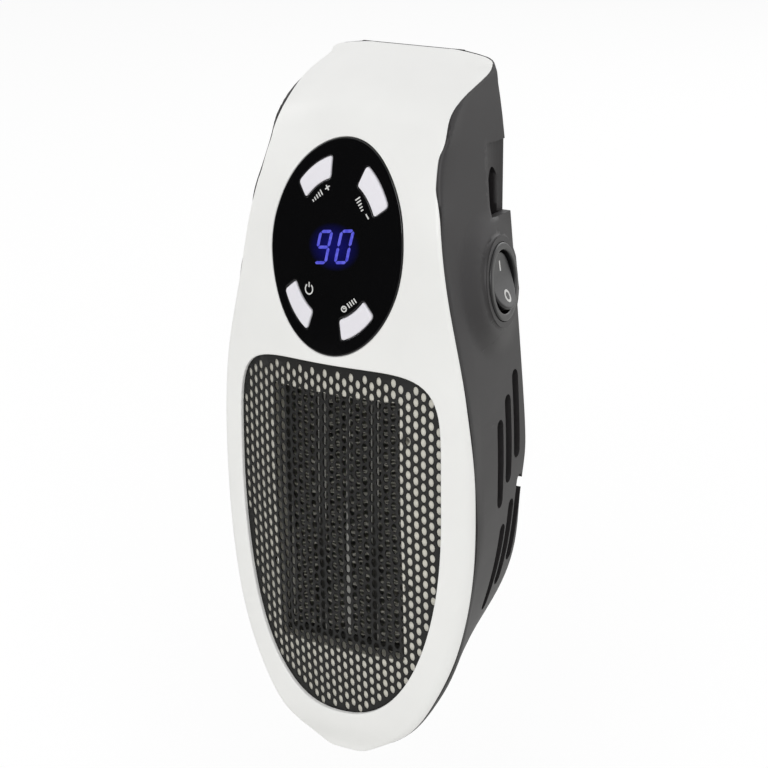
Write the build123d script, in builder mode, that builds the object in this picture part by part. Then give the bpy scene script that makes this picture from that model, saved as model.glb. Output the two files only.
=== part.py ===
"""Plug-in fan heater: a white front shell on a dark rear housing, hung on the wall by its plug.

The origin is midway between the two plug blades, on the plane of the wall. Z points up, the
heater faces -Y, and the blades point along +Y into the wall.
"""
import os
from math import acos, atan2, cos, degrees, hypot, pi, radians, sin, sqrt

from build123d import *

# Body: outer form
body_height = 188.0
body_half_width = 38.5
body_depth = 45.0
front_arc_radius = 94.0
corner_radius = 8.4
top_above_plug = 48.0
tip_height = top_above_plug - body_height
wall = 2.0
least_corner = 0.7
overrun = 20.0
clearance = 0.15
far = body_height

# Stations up the body, from the tip to the top. Each row holds the shares of body_height,
# body_half_width, body_depth, corner_radius, body_depth at the seam, body_depth at the back
# and body_half_width at the back.
station_shares = (
    (0.000, 0.090, 0.810, 0.20, 0.680, 0.690, 0.050),
    (0.016, 0.320, 0.848, 0.36, 0.690, 0.672, 0.200),
    (0.048, 0.509, 0.887, 0.56, 0.700, 0.620, 0.360),
    (0.106, 0.710, 0.925, 0.72, 0.715, 0.490, 0.535),
    (0.191, 0.873, 0.949, 0.76, 0.730, 0.235, 0.728),
    (0.298, 0.966, 0.976, 0.84, 0.740, 0.060, 0.872),
    (0.426, 1.000, 0.996, 1.00, 0.758, 0.008, 0.905),
    (0.559, 0.995, 0.978, 0.95, 0.796, -0.002, 0.865),
    (0.691, 0.914, 0.938, 0.86, 0.818, -0.002, 0.803),
    (0.798, 0.813, 0.880, 0.80, 0.785, -0.002, 0.750),
    (0.894, 0.748, 0.693, 0.71, 0.620, -0.002, 0.700),
    (0.957, 0.680, 0.387, 0.50, 0.280, -0.002, 0.652),
    (1.000, 0.618, 0.100, 0.09, 0.012, -0.002, 0.615),
)
width_column = 1
depth_column = 2
corner_column = 3
seam_column = 4
back_column = 5
back_width_column = 6
slope_step_share = 0.004
seam_set_back = 6.0
seam_step = 0.5

# Grille and its opening in the front shell
opening_half_width = 30.3
opening_widest_height = -60.0
opening_rise = 31.9
opening_drop = 67.3
opening_rise_power = 4.3
opening_drop_power = 2.37
opening_points = 32
opening_back = 33.0
ledge_depth = 1.2
grille_border = 1.5
hole_pitch_height = 6.9
hole_pitch_side = 4.4
hole_web = 1.0
hole_flat_share = 0.3
hole_margin = 1.6

# Control panel
panel_half_width = 19.4
panel_half_height = 27.5
panel_height = 1.8
panel_gap = 0.1
key_outer_share = 0.855
key_inner_share = 0.655
key_angle = 54.0
key_half_span = 17.5
key_turn = 5.5
key_proud = 0.3
key_gap = 0.25
key_travel = 0.5
key_flange = 0.7
key_flange_gap = 0.3
key_stem_radius = 1.6
display_width = 15.0
display_height = 11.0
display_front = 38.2
display_gap = 0.3

# Control board
board_thickness = 1.6
board_front = 26.6
board_half_width = 16.5
board_low = -20.0
board_high = 22.8
board_post_radius = 2.3
board_post_side = 13.6
board_post_low = -4.0
board_post_high = 7.6
board_notch_gap = 0.5
tact_width = 5.0
tact_height = 3.2
tact_plunger_radius = 1.3
tact_plunger_height = 1.0
tact_gap = 0.05

# Outlet duct and heating core
duct_wall = 1.5
duct_tab_half_width = 3.5
duct_top_tab = -21.6
duct_top_tab_depth = 37.0
duct_low_tab = -131.0
duct_low_tab_depth = 32.6
duct_post_radius = 2.2
duct_screw_bite = 1.6
duct_half_width = 19.1
duct_low = -109.0
duct_high = -36.4
core_front = 34.5
core_half_width = 17.8
core_low = -106.8
core_high = -37.8
core_side_plate = 0.8
core_bar_side = 8.1
core_bar_width = 2.4
core_centre_width = 1.2
core_gap = 0.1
fin_fold_pitch = 3.0
fin_strip = 0.3
fin_gap = 0.05
plenum_half_width = 27.5
plenum_low = -94.6
plenum_high = -39.4
plenum_depth = 3.0

# Fan
fan_height = -67.0
fan_back = 8.5
fan_front = 20.4
fan_ring_radius = 26.0
fan_ring_wall = 1.5
fan_tip_gap = 0.8
fan_hub_radius = 10.5
fan_cup_wall = 1.0
fan_cup_back = 11.2
fan_cup_front = 18.6
fan_blades = 7
fan_blade_thickness = 1.1
fan_blade_chord = 8.6
fan_blade_root_pitch = 42.0
fan_blade_tip_pitch = 28.0
fan_blade_sink = 0.5
fan_shaft_radius = 1.5
fan_bore_gap = 0.05
fan_tube_wall = 1.1
fan_tube_front = 17.0
fan_plate = 1.5
fan_strut_width = 3.0
fan_struts = 3
fan_ear_side = 20.6
fan_ear_radius = 3.2
fan_ear_thickness = 2.2
fan_stator_radius = 8.4
fan_stator_depth = 4.5
fan_stator_arm = 2.4
fan_stator_rim = 1.2
fan_stator_poles = 4

# Side vents
vent_width = 4.0
vent_length = 24.0
vent_first_depth = 5.6
vent_depth_step = 5.9
vent_first_height = -46.5
vent_height_step = -5.2
vent_row_drop = 29.5
vent_row_recess = -0.6
vent_lean = 7.0
vents_in_row = 3

# Finger grips
grip_low = 7.0
grip_high = 26.0
grip_radius = 9.0
grip_bite = 2.4
grip_depth = 3.5

# Rocker switch
switch_depth = 11.2
switch_height = -9.3
bezel_radius = 10.3
bezel_thickness = 1.2
seat_thickness = 2.4
collar_width = 1.7
collar_rise = 0.7
switch_body_radius = 9.2
switch_body_length = 13.0
switch_hole_gap = 0.2
switch_well_radius = 8.3
switch_well = 6.4
rocker_radius = 7.6
rocker_low = 3.2
rocker_end_rise = 2.6
rocker_middle_rise = 1.5
rocker_pivot_radius = 1.0
rocker_pivot_gap = 0.05
rocker_pivot_depth = 1.0
rocker_pivot_reach = 8.9
rocker_tilt = 9.0
terminal_width = 4.8
terminal_thickness = 0.8
terminal_length = 6.0
terminal_spacing = 8.0

# Plug
blade_spacing = 12.7
blade_width = 6.35
blade_thickness = 1.52
blade_reach = 16.5
blade_tail = 1.2
blade_hole_reach = 12.0
blade_hole_radius = 1.6
block_half_width = 12.5
block_half_height = 8.0
block_depth = 12.0
block_hole_gap = 0.2
block_flange = 2.0
block_flange_thickness = 2.2
block_seat_gap = 0.05

# Power board
power_board_back = 13.4
power_board_left = -24.0
power_board_right = 9.5
power_board_low = -18.0
power_board_high = 22.0
power_post_radius = 2.6
power_post_inset = 3.2
relay_width = 15.5
relay_height = 12.0
relay_depth = 8.4
relay_side = -13.5
relay_rise = 10.4
capacitor_width = 13.0
capacitor_height = 6.0
capacitor_depth = 9.0
capacitor_side = -12.0
capacitor_rise = -12.5
fuse_radius = 2.5
fuse_length = 14.0
fuse_side = 3.0
fuse_rise = -2.0

# Screws
screw_head_radius = 2.7
screw_head_height = 1.8
screw_shank_radius = 1.45
screw_length = 13.0
small_head_radius = 1.9
small_head_height = 1.3
small_shank_radius = 0.95
small_length = 5.5
screw_fit = 0.1
boss_radius = 4.3
boss_reach = 8.0
post_radius = 3.0
screw_recess = 3.0
lower_boss_side = 14.5
lower_boss_height = -21.8
upper_boss_side = 15.5
upper_boss_height = 29.0

# Thermal cut-out
cutout_radius = 5.2
cutout_thickness = 3.4

os.makedirs("parts", exist_ok=True)


def smooth(column, height):
    """Value of one station column at a height: a cubic along the square root of the share."""
    share = min(max((height - tip_height) / body_height, 0), 1)
    spots = [sqrt(row[0]) for row in station_shares]
    values = [row[column] for row in station_shares]
    last = len(spots) - 1
    spot = sqrt(share)
    low = max(k for k in range(last) if spots[k] <= spot)

    def tangent(k):
        if k in (0, last):
            near = 1 if k == 0 else last - 1
            return (values[near] - values[k]) / (spots[near] - spots[k])
        below = (values[k] - values[k - 1]) / (spots[k] - spots[k - 1])
        above = (values[k + 1] - values[k]) / (spots[k + 1] - spots[k])
        if below * above <= 0:
            return 0
        blend = (below * (spots[k + 1] - spots[k]) + above * (spots[k] - spots[k - 1]))
        blend /= spots[k + 1] - spots[k - 1]
        limit = 3 * min(abs(below), abs(above))
        return max(-limit, min(limit, blend))

    span = spots[low + 1] - spots[low]
    u = (spot - spots[low]) / span
    rise = u * u * (3 - 2 * u)
    start = tangent(low) * span * u * (1 - u) ** 2
    end = tangent(low + 1) * span * u * u * (u - 1)
    return values[low] * (1 - rise) + values[low + 1] * rise + start + end


def slope_factor(column, size, height):
    """Length of a sideways step that crosses a sloping wall of thickness one."""
    step = slope_step_share * body_height
    rise = size * (smooth(column, height + step) - smooth(column, height - step)) / (2 * step)
    return hypot(1, rise)


def half_width_at(height):
    return body_half_width * smooth(width_column, height)


def front_at(height):
    return body_depth * smooth(depth_column, height)


def back_at(height):
    return body_depth * smooth(back_column, height)


def outline_at(height, inset):
    """Corner centre, corner radius, angles and back corner of one level section."""
    side = half_width_at(height) - inset * slope_factor(width_column, body_half_width, height)
    front = front_at(height) - inset * slope_factor(depth_column, body_depth, height)
    back = back_at(height) + inset * slope_factor(back_column, body_depth, height)
    back_side = body_half_width * smooth(back_width_column, height)
    back_side -= inset * slope_factor(back_width_column, body_half_width, height)
    radius = max(corner_radius * smooth(corner_column, height) - inset, least_corner)
    arc = front_arc_radius - inset
    centre_side = side - radius
    centre_depth = front - arc + sqrt((arc - radius) ** 2 - centre_side**2)
    turn = atan2(centre_side, centre_depth - (front - arc))
    reach = hypot(back_side - centre_side, back - centre_depth)
    heading = atan2(back_side - centre_side, back - centre_depth) % (2 * pi)
    end = heading - acos(radius / reach)
    return side, front, back, back_side, radius, arc, centre_side, centre_depth, turn, end


def section_lines(height, inset):
    """Front arc, two corner arcs, two straight sides and the back of one level section."""
    outline = outline_at(height, inset)
    _, front, back, back_side, radius, arc, centre_side, centre_depth, turn, end = outline

    def on_corner(angle):
        return centre_side + radius * sin(angle), -(centre_depth + radius * cos(angle))

    start = on_corner(turn)
    middle = on_corner((turn + end) / 2)
    finish = on_corner(end)
    ThreePointArc((-start[0], start[1]), (0, -front), start)
    ThreePointArc(start, middle, finish)
    Line(finish, (back_side, -back))
    Line((back_side, -back), (-back_side, -back))
    Line((-back_side, -back), (-finish[0], finish[1]))
    ThreePointArc((-finish[0], finish[1]), (-middle[0], middle[1]), (-start[0], start[1]))


def side_at(depth, height):
    """Half width of the straight side at a depth and height."""
    outline = outline_at(height, 0)
    _, _, back, back_side, radius, _, centre_side, centre_depth, _, end = outline
    finish_side = centre_side + radius * sin(end)
    finish_depth = centre_depth + radius * cos(end)
    share = (depth - back) / (finish_depth - back)
    return back_side + share * (finish_side - back_side)


def body_form(inset, low, high):
    """Solid of the body's form, drawn in by an inset, from one height to another."""
    levels = [tip_height + body_height * row[0] for row in station_shares]
    margin = slope_step_share * body_height
    inner = [level for level in levels if low + margin < level < high - margin]
    with BuildPart() as form:
        for level in [low] + inner + [high]:
            with BuildSketch(Plane.XY.offset(level)):
                with BuildLine():
                    section_lines(level, inset)
                make_face()
        loft()
    return form.part


def seam_prism(set_back):
    """Everything in front of the seam line, or of that line set back."""
    seam = []
    for row in station_shares:
        depth = body_depth * row[seam_column] - set_back
        seam.append((-depth, tip_height + body_height * row[0]))
    with BuildPart() as region:
        with BuildSketch(Plane.YZ):
            with BuildLine():
                Spline(*seam)
                Polyline(
                    seam[-1],
                    (seam[-1][0], seam[-1][1] + overrun),
                    (-body_depth - overrun, seam[-1][1] + overrun),
                    (-body_depth - overrun, tip_height - overrun),
                    (seam[0][0], tip_height - overrun),
                    seam[0],
                )
            make_face()
        extrude(amount=body_half_width + overrun, both=True)
    return region.part


def front_region():
    """The front shell's share of the body: before the seam, and all of the leaning front."""
    edge = []
    for row in station_shares:
        side = body_half_width * row[width_column] - corner_radius * row[corner_column]
        edge.append((side, tip_height + body_height * row[0]))
    with BuildPart() as region:
        with BuildSketch(Plane.XZ.offset(wall + seam_step)):
            with BuildLine():
                Spline(*edge)
                Spline(*[(-side, height) for side, height in edge])
                Line(edge[0], (-edge[0][0], edge[0][1]))
                Line(edge[-1], (-edge[-1][0], edge[-1][1]))
            make_face()
        extrude(amount=body_depth)
        add(seam_prism(seam_set_back), mode=Mode.INTERSECT)
        add(seam_prism(0))
    return region.part


def opening_outline(grow):
    """Points of the grille opening: squarer at the top than at the bottom."""
    points = []
    for k in range(opening_points):
        angle = 2 * pi * (k + 0.5) / opening_points
        above = sin(angle) > 0
        power = opening_rise_power if above else opening_drop_power
        reach = opening_rise + grow if above else -opening_drop - grow
        side = abs(cos(angle)) ** (2 / power) * (1 if cos(angle) > 0 else -1)
        rise = abs(sin(angle)) ** (2 / power) * reach
        points.append(((opening_half_width + grow) * side, opening_widest_height + rise))
    return points


def in_opening(side, height, margin):
    """Whether a point lies inside the grille opening, clear of its edge by a margin."""
    rise = height - opening_widest_height
    power = opening_rise_power if rise > 0 else opening_drop_power
    reach = (opening_rise if rise > 0 else opening_drop) - margin
    width = opening_half_width - margin
    return (abs(side) / width) ** power + (abs(rise) / reach) ** power < 1


def opening_prism(grow, depth):
    """Straight prism of the grille opening, from a depth forwards past the body."""
    with BuildPart() as prism:
        with BuildSketch(Plane.XZ.offset(depth)):
            with BuildLine():
                Spline(*opening_outline(grow), periodic=True)
            make_face()
        extrude(amount=body_depth + overrun - depth)
    return prism.part


def band(front_form, back_form, prism):
    """What lies inside one form and outside another, within a prism."""
    with BuildPart() as slab:
        add(front_form)
        add(prism, mode=Mode.INTERSECT)
        add(back_form, mode=Mode.SUBTRACT)
    return slab.part


def panel_prism(grow, depth):
    """Oval prism of the control panel, from a depth forwards."""
    with BuildPart() as prism:
        with BuildSketch(Plane.XZ.offset(depth)):
            with Locations((0, panel_height)):
                Ellipse(panel_half_width + grow, panel_half_height + grow)
        extrude(amount=body_depth + overrun - depth)
    return prism.part


def key_prism(angle, grow, depth):
    """Prism of one arc key, whose ends follow the oval, from a depth forwards."""
    outer_side = panel_half_width * key_outer_share + grow
    outer_rise = panel_half_height * key_outer_share + grow
    inner_side = panel_half_width * key_inner_share - grow
    inner_rise = panel_half_height * key_inner_share - grow
    spread = key_half_span + degrees(grow / panel_half_width)
    centre = (0, panel_height)
    with BuildPart() as prism:
        with BuildSketch(Plane.XZ.offset(depth)):
            with BuildLine():
                far_arc = EllipticalCenterArc(
                    centre, outer_side, outer_rise, angle - spread, arc_size=2 * spread
                )
                near_arc = EllipticalCenterArc(
                    centre, inner_side, inner_rise, angle - spread, arc_size=2 * spread
                )
                Line(far_arc @ 0, near_arc @ 0)
                Line(far_arc @ 1, near_arc @ 1)
            make_face()
        extrude(amount=body_depth + overrun - depth)
    return prism.part


def key_spot(angle):
    """Middle of a key, as a side and a height."""
    share = (key_outer_share + key_inner_share) / 2
    side = panel_half_width * share * cos(radians(angle))
    rise = panel_half_height * share * sin(radians(angle))
    return side, panel_height + rise


def rod(side, height, radius, back, front):
    """Round bar along the depth of the heater."""
    with BuildPart() as bar:
        with BuildSketch(Plane.XZ.offset(back)):
            with Locations((side, height)):
                Circle(radius)
        extrude(amount=front - back)
    return bar.part


def block(left, right, low, high, back, front):
    """Plain block between two sides, two heights and two depths."""
    with BuildPart() as solid:
        with BuildSketch(Plane.XZ.offset(back)):
            with Locations(((left + right) / 2, (low + high) / 2)):
                Rectangle(right - left, high - low)
        extrude(amount=front - back)
    return solid.part


def finish(part, name):
    """Label one piece and write it."""
    part.label = name
    export_step(part, "parts/" + name + ".step")


# Forms that the shells, the grille, the lens and the keys share
outer = body_form(0, tip_height, top_above_plug)
ledge_form = body_form(ledge_depth, tip_height + 2 * ledge_depth, top_above_plug - 2 * ledge_depth)
inner = body_form(wall, tip_height + 3 * wall, top_above_plug - 2 * wall)
flange_inset = wall + duct_wall
flange_form = body_form(
    flange_inset, tip_height + 3 * flange_inset, top_above_plug - 3 * flange_inset
)
seam_region = front_region()
key_angles = {
    "key_warmer": 180 - key_angle - key_turn,
    "key_cooler": key_angle - key_turn,
    "key_power": 180 + key_angle - key_turn,
    "key_timer": 360 - key_angle - key_turn,
}
boss_spots = [
    (side * lower_boss_side, lower_boss_height) for side in (-1, 1)
] + [
    (side * upper_boss_side, upper_boss_height) for side in (-1, 1)
]
board_post_spots = [
    (side * board_post_side, height)
    for side in (-1, 1)
    for height in (board_post_low, board_post_high)
]

# Front shell
panel_bed = band(outer, ledge_form, panel_prism(0, 0))
grille_bed = band(ledge_form, inner, opening_prism(grille_border, opening_back))
with BuildPart() as shell_posts:
    for side, height in boss_spots:
        add(rod(side, height, post_radius, boss_reach, body_depth))
    for side, height in board_post_spots:
        add(rod(side, height, board_post_radius, board_front, body_depth))
    add(rod(0, duct_top_tab, duct_post_radius, duct_top_tab_depth + duct_wall, body_depth))
    add(rod(0, duct_low_tab, duct_post_radius, duct_low_tab_depth + duct_wall, body_depth))
    add(ledge_form, mode=Mode.INTERSECT)
    for side, height in boss_spots:
        add(rod(side, height, screw_shank_radius, 0, screw_length), mode=Mode.SUBTRACT)
    for side, height in board_post_spots:
        add(
            rod(side, height, small_shank_radius, 0, board_front + small_length),
            mode=Mode.SUBTRACT,
        )
    for height, depth in ((duct_top_tab, duct_top_tab_depth), (duct_low_tab, duct_low_tab_depth)):
        add(
            rod(0, height, small_shank_radius, 0, depth + duct_wall + duct_screw_bite),
            mode=Mode.SUBTRACT,
        )
with BuildPart() as windows:
    add(opening_prism(0, opening_back))
    for angle in key_angles.values():
        add(key_prism(angle, key_gap, board_front))
    add(
        block(
            -display_width / 2 - display_gap,
            display_width / 2 + display_gap,
            panel_height - display_height / 2 - display_gap,
            panel_height + display_height / 2 + display_gap,
            board_front,
            body_depth,
        )
    )
with BuildPart() as front_shell:
    add(outer)
    add(seam_region, mode=Mode.INTERSECT)
    add([inner, grille_bed, panel_bed, windows.part], mode=Mode.SUBTRACT)
    add(shell_posts.part)
finish(front_shell.part, "front_shell")

# Grille: a thin plate behind the ledge, with staggered rows of six-sided holes
grille_blank = band(ledge_form, inner, opening_prism(grille_border - clearance, opening_back))
hole_half_height = (hole_pitch_height - hole_web) / 2
hole_half_width = (hole_pitch_side + hole_flat_share * hole_pitch_side - hole_web) / 2
hole_spots = []
columns = int(opening_half_width / hole_pitch_side) + 1
rows = int((opening_rise + opening_drop) / hole_pitch_height) + 2
for column in range(-columns, columns + 1):
    for row in range(-rows, rows + 1):
        side = column * hole_pitch_side
        height = opening_widest_height + (row + (column % 2) / 2) * hole_pitch_height
        corners = [
            (side + turn * hole_half_width, height + rise * hole_half_height)
            for turn in (-1, 1)
            for rise in (-1, 1)
        ]
        if all(in_opening(x, z, hole_margin) for x, z in corners):
            hole_spots.append((side, height))
with BuildPart() as grille:
    add(grille_blank)
    with BuildSketch(Plane.XZ.offset(opening_back)):
        with Locations(*hole_spots):
            Polygon(
                (hole_half_width, 0),
                (hole_half_width * hole_flat_share, hole_half_height),
                (-hole_half_width * hole_flat_share, hole_half_height),
                (-hole_half_width, 0),
                (-hole_half_width * hole_flat_share, -hole_half_height),
                (hole_half_width * hole_flat_share, -hole_half_height),
                align=None,
            )
    extrude(amount=body_depth, mode=Mode.SUBTRACT)
finish(grille.part, "grille")

# Rear housing
seat_centre = (side_at(switch_depth, switch_height), -switch_depth, switch_height)
probe = slope_step_share * body_height
lean_in_depth = (
    side_at(switch_depth + probe, switch_height) - side_at(switch_depth - probe, switch_height)
) / (2 * probe)
lean_in_height = (
    side_at(switch_depth, switch_height + probe) - side_at(switch_depth, switch_height - probe)
) / (2 * probe)
seat_normal = Vector(1, lean_in_depth, -lean_in_height)
seat_side = Vector(lean_in_depth, -1, 0)
seat = Plane(origin=seat_centre, x_dir=seat_side, z_dir=seat_normal)
with BuildPart() as vents:
    for row in (0, 1):
        for place in range(vents_in_row):
            depth = vent_first_depth + place * vent_depth_step + row * vent_row_recess
            height = vent_first_height + place * vent_height_step - row * vent_row_drop
            with BuildSketch(Plane.YZ):
                with Locations(Location((-depth, height, 0), (0, 0, -vent_lean * (row + 0.5)))):
                    SlotOverall(vent_length, vent_width, rotation=90)
            extrude(amount=body_half_width + overrun, both=True)
with BuildPart() as grips:
    for side in (-1, 1):
        middle = (grip_low + grip_high) / 2
        reach = side_at(grip_depth, middle) + grip_radius - grip_bite
        with BuildSketch(Plane.XY.offset(grip_low)):
            with Locations((side * reach, -grip_depth)):
                Circle(grip_radius)
        extrude(amount=grip_high - grip_low)
with BuildPart() as bosses:
    for side, height in boss_spots:
        add(rod(side, height, boss_radius, wall / 2, boss_reach))
    for side in (power_board_left + power_post_inset, power_board_right - power_post_inset):
        for height in (power_board_low + power_post_inset, power_board_high - power_post_inset):
            add(rod(side, height, power_post_radius, wall / 2, power_board_back))
with BuildPart() as boss_holes:
    for side, height in boss_spots:
        add(rod(side, height, screw_head_radius + clearance, -wall, screw_recess))
        add(rod(side, height, screw_shank_radius + clearance, 0, boss_reach + wall))
    for side in (power_board_left + power_post_inset, power_board_right - power_post_inset):
        for height in (power_board_low + power_post_inset, power_board_high - power_post_inset):
            add(rod(side, height, small_shank_radius, power_board_back - small_length, body_depth))
behind_wall = block(-far, far, -far, far, -far, 0)
with BuildPart() as rear_housing:
    add(outer)
    add(seam_region, mode=Mode.SUBTRACT)
    with BuildSketch(seat.offset(-seat_thickness)):
        Circle(bezel_radius + collar_width)
    extrude(amount=seat_thickness + collar_rise)
    with BuildSketch(seat):
        Circle(bezel_radius + clearance)
    extrude(amount=overrun, mode=Mode.SUBTRACT)
    add(inner, mode=Mode.SUBTRACT)
    with BuildSketch(seat.offset(-seat_thickness)):
        Circle(bezel_radius + collar_width)
    extrude(amount=seat_thickness)
    add([behind_wall, vents.part, grips.part], mode=Mode.SUBTRACT)
    with BuildSketch(seat.offset(-switch_body_length)):
        Circle(switch_body_radius + switch_hole_gap)
    extrude(amount=switch_body_length + overrun, mode=Mode.SUBTRACT)
    add(bosses.part)
    add(boss_holes.part, mode=Mode.SUBTRACT)
    add(
        block(
            -block_half_width - block_hole_gap,
            block_half_width + block_hole_gap,
            -block_half_height - block_hole_gap,
            block_half_height + block_hole_gap,
            -wall,
            wall + block_flange_thickness,
        ),
        mode=Mode.SUBTRACT,
    )
finish(rear_housing.part, "rear_housing")

# Control panel lens, flush with the shell
with BuildPart() as panel_lens:
    add(outer)
    add(panel_prism(-panel_gap, board_front), mode=Mode.INTERSECT)
    add(ledge_form, mode=Mode.SUBTRACT)
    for angle in key_angles.values():
        add(key_prism(angle, key_gap, board_front), mode=Mode.SUBTRACT)
finish(panel_lens.part, "panel_lens")

# Arc keys: a cap through the lens, a flange behind the ledge and a stem to its switch
tact_top = board_front + tact_height + tact_plunger_height
for name, angle in key_angles.items():
    side, height = key_spot(angle)
    with BuildPart() as key_flange_slab:
        add(inner.moved(Location((0, key_flange_gap, 0))))
        add(key_prism(angle, key_flange, board_front), mode=Mode.INTERSECT)
    with BuildPart() as key:
        add(outer.moved(Location((0, -key_proud, 0))))
        add(key_prism(angle, 0, board_front), mode=Mode.INTERSECT)
        add(key_flange_slab.part)
        add(flange_form, mode=Mode.SUBTRACT)
        with BuildSketch(Plane.XZ.offset(tact_top + key_travel + tact_gap)):
            with Locations((side, height)):
                Circle(key_stem_radius)
        extrude(until=Until.NEXT)
    finish(key.part, name)

# Display block with its two digits behind the lens
finish(
    block(
        -display_width / 2,
        display_width / 2,
        panel_height - display_height / 2,
        panel_height + display_height / 2,
        board_front,
        display_front,
    ),
    "display_block",
)

# Control board, notched round the long posts
with BuildPart() as control_board:
    add(
        block(
            -board_half_width,
            board_half_width,
            board_low,
            board_high,
            board_front - board_thickness,
            board_front,
        )
    )
    for side, height in boss_spots:
        add(
            rod(side, height, post_radius + board_notch_gap, 0, body_depth),
            mode=Mode.SUBTRACT,
        )
    for side, height in board_post_spots:
        add(rod(side, height, small_shank_radius + clearance, 0, body_depth), mode=Mode.SUBTRACT)
finish(control_board.part, "control_board")
with BuildPart() as tact_switches:
    for angle in key_angles.values():
        side, height = key_spot(angle)
        half = tact_width / 2
        add(
            block(
                side - half,
                side + half,
                height - half,
                height + half,
                board_front,
                board_front + tact_height,
            )
        )
        add(rod(side, height, tact_plunger_radius, board_front + tact_height, tact_top))
finish(tact_switches.part, "tact_switches")


def screw_set(spots, seat_depth, head_radius, head_height, shank_radius, length):
    """Screws driven forwards, their heads behind the seat depth."""
    with BuildPart() as screws:
        for side, height in spots:
            add(rod(side, height, head_radius, seat_depth - head_height, seat_depth))
            add(rod(side, height, shank_radius, seat_depth, seat_depth + length))
    return screws.part


finish(
    screw_set(
        board_post_spots,
        board_front - board_thickness,
        small_head_radius,
        small_head_height,
        small_shank_radius - screw_fit,
        small_length,
    ),
    "control_board_screws",
)
finish(
    screw_set(
        boss_spots,
        screw_recess,
        screw_head_radius,
        screw_head_height,
        screw_shank_radius - screw_fit,
        screw_length - screw_recess - screw_fit,
    ),
    "housing_screws",
)

# Outlet duct: a flange behind the grille, a tunnel round the heating core and a fan plenum
fan_ear_spots = [
    (x * fan_ear_side, fan_height + z * fan_ear_side) for x in (-1, 1) for z in (-1, 1)
]
core_back = fan_front + plenum_depth + duct_wall
tunnel_half_width = duct_half_width + duct_wall
plate_back = core_back - duct_wall
with BuildPart() as duct_block:
    add(
        block(
            -tunnel_half_width,
            tunnel_half_width,
            duct_low - duct_wall,
            duct_high + duct_wall,
            plate_back,
            body_depth,
        )
    )
    add(
        block(
            -duct_tab_half_width,
            duct_tab_half_width,
            duct_high,
            duct_top_tab + duct_tab_half_width,
            duct_top_tab_depth,
            duct_top_tab_depth + duct_wall,
        )
    )
    add(
        block(
            -duct_tab_half_width,
            duct_tab_half_width,
            duct_low_tab - duct_tab_half_width,
            duct_low,
            duct_low_tab_depth,
            duct_low_tab_depth + duct_wall,
        )
    )
    add(inner, mode=Mode.INTERSECT)
duct_flange = band(inner, flange_form, opening_prism(grille_border - clearance, opening_back))
with BuildPart() as outlet_duct:
    add(duct_block.part)
    add(duct_flange)
    add(block(-plenum_half_width, plenum_half_width, plenum_low, plenum_high, fan_front, core_back))
    add(
        block(
            -plenum_half_width + duct_wall,
            plenum_half_width - duct_wall,
            plenum_low + duct_wall,
            plenum_high - duct_wall,
            fan_front + duct_wall,
            plate_back,
        ),
        mode=Mode.SUBTRACT,
    )
    add(
        rod(0, fan_height, fan_ring_radius - fan_ring_wall, fan_front, fan_front + duct_wall),
        mode=Mode.SUBTRACT,
    )
    add(
        block(-duct_half_width, duct_half_width, duct_low, duct_high, core_back, body_depth),
        mode=Mode.SUBTRACT,
    )
    add(
        block(
            -core_half_width,
            core_half_width,
            plenum_low + duct_wall,
            plenum_high - duct_wall,
            plate_back,
            core_back,
        ),
        mode=Mode.SUBTRACT,
    )
    for side, height in [(0, duct_top_tab), (0, duct_low_tab)] + fan_ear_spots:
        add(
            rod(side, height, small_shank_radius + clearance, 0, body_depth),
            mode=Mode.SUBTRACT,
        )
finish(outlet_duct.part, "outlet_duct")

# Heating core: holder ring, side plates, bars, centre strip and folded fins
core_rim = duct_half_width - clearance
with BuildPart() as core_holder:
    add(
        block(
            -core_rim, core_rim, duct_low + clearance, duct_high - clearance, core_back, core_front
        )
    )
    add(
        block(-core_half_width, core_half_width, core_low, core_high, core_back, core_front),
        mode=Mode.SUBTRACT,
    )
finish(core_holder.part, "core_holder")
bar_low = core_low + core_gap
bar_high = core_high - core_gap
with BuildPart() as heater_bars:
    for side in (-core_bar_side, core_bar_side):
        half = core_bar_width / 2
        add(block(side - half, side + half, bar_low, bar_high, core_back, core_front))
finish(heater_bars.part, "heater_bars")
with BuildPart() as core_strips:
    half = core_centre_width / 2
    add(block(-half, half, bar_low, bar_high, core_back, core_front))
    for side in (-1, 1):
        near = side * (core_half_width - core_gap)
        away = side * (core_half_width - core_side_plate)
        add(block(min(near, away), max(near, away), bar_low, bar_high, core_back, core_front))
finish(core_strips.part, "core_strips")


def folded_fin(left, right):
    """Zigzag strip between two upright plates, folded from the bottom to the top."""
    folds = int((bar_high - bar_low) / (fin_fold_pitch / 2))
    step = (bar_high - bar_low) / folds
    near = left + fin_gap
    away = right - fin_gap
    shift = fin_strip * hypot(away - near, step) / step
    one_edge = []
    other_edge = []
    for k in range(folds + 1):
        height = bar_low + k * step
        one_edge.append((near if k % 2 else away - shift, height))
        other_edge.append((near + shift if k % 2 else away, height))
    with BuildPart() as fin:
        with BuildSketch(Plane.XZ.offset(core_back)):
            with BuildLine():
                Polyline(*one_edge, *reversed(other_edge), close=True)
            make_face()
        extrude(amount=core_front - core_back)
    return fin.part


with BuildPart() as heater_fins:
    bar_near = core_bar_side - core_bar_width / 2
    bar_far = core_bar_side + core_bar_width / 2
    plate = core_half_width - core_side_plate
    for left, right in (
        (-plate, -bar_far),
        (-bar_near, -core_centre_width / 2),
        (core_centre_width / 2, bar_near),
        (bar_far, plate),
    ):
        add(folded_fin(left, right))
finish(heater_fins.part, "heater_fins")

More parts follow.
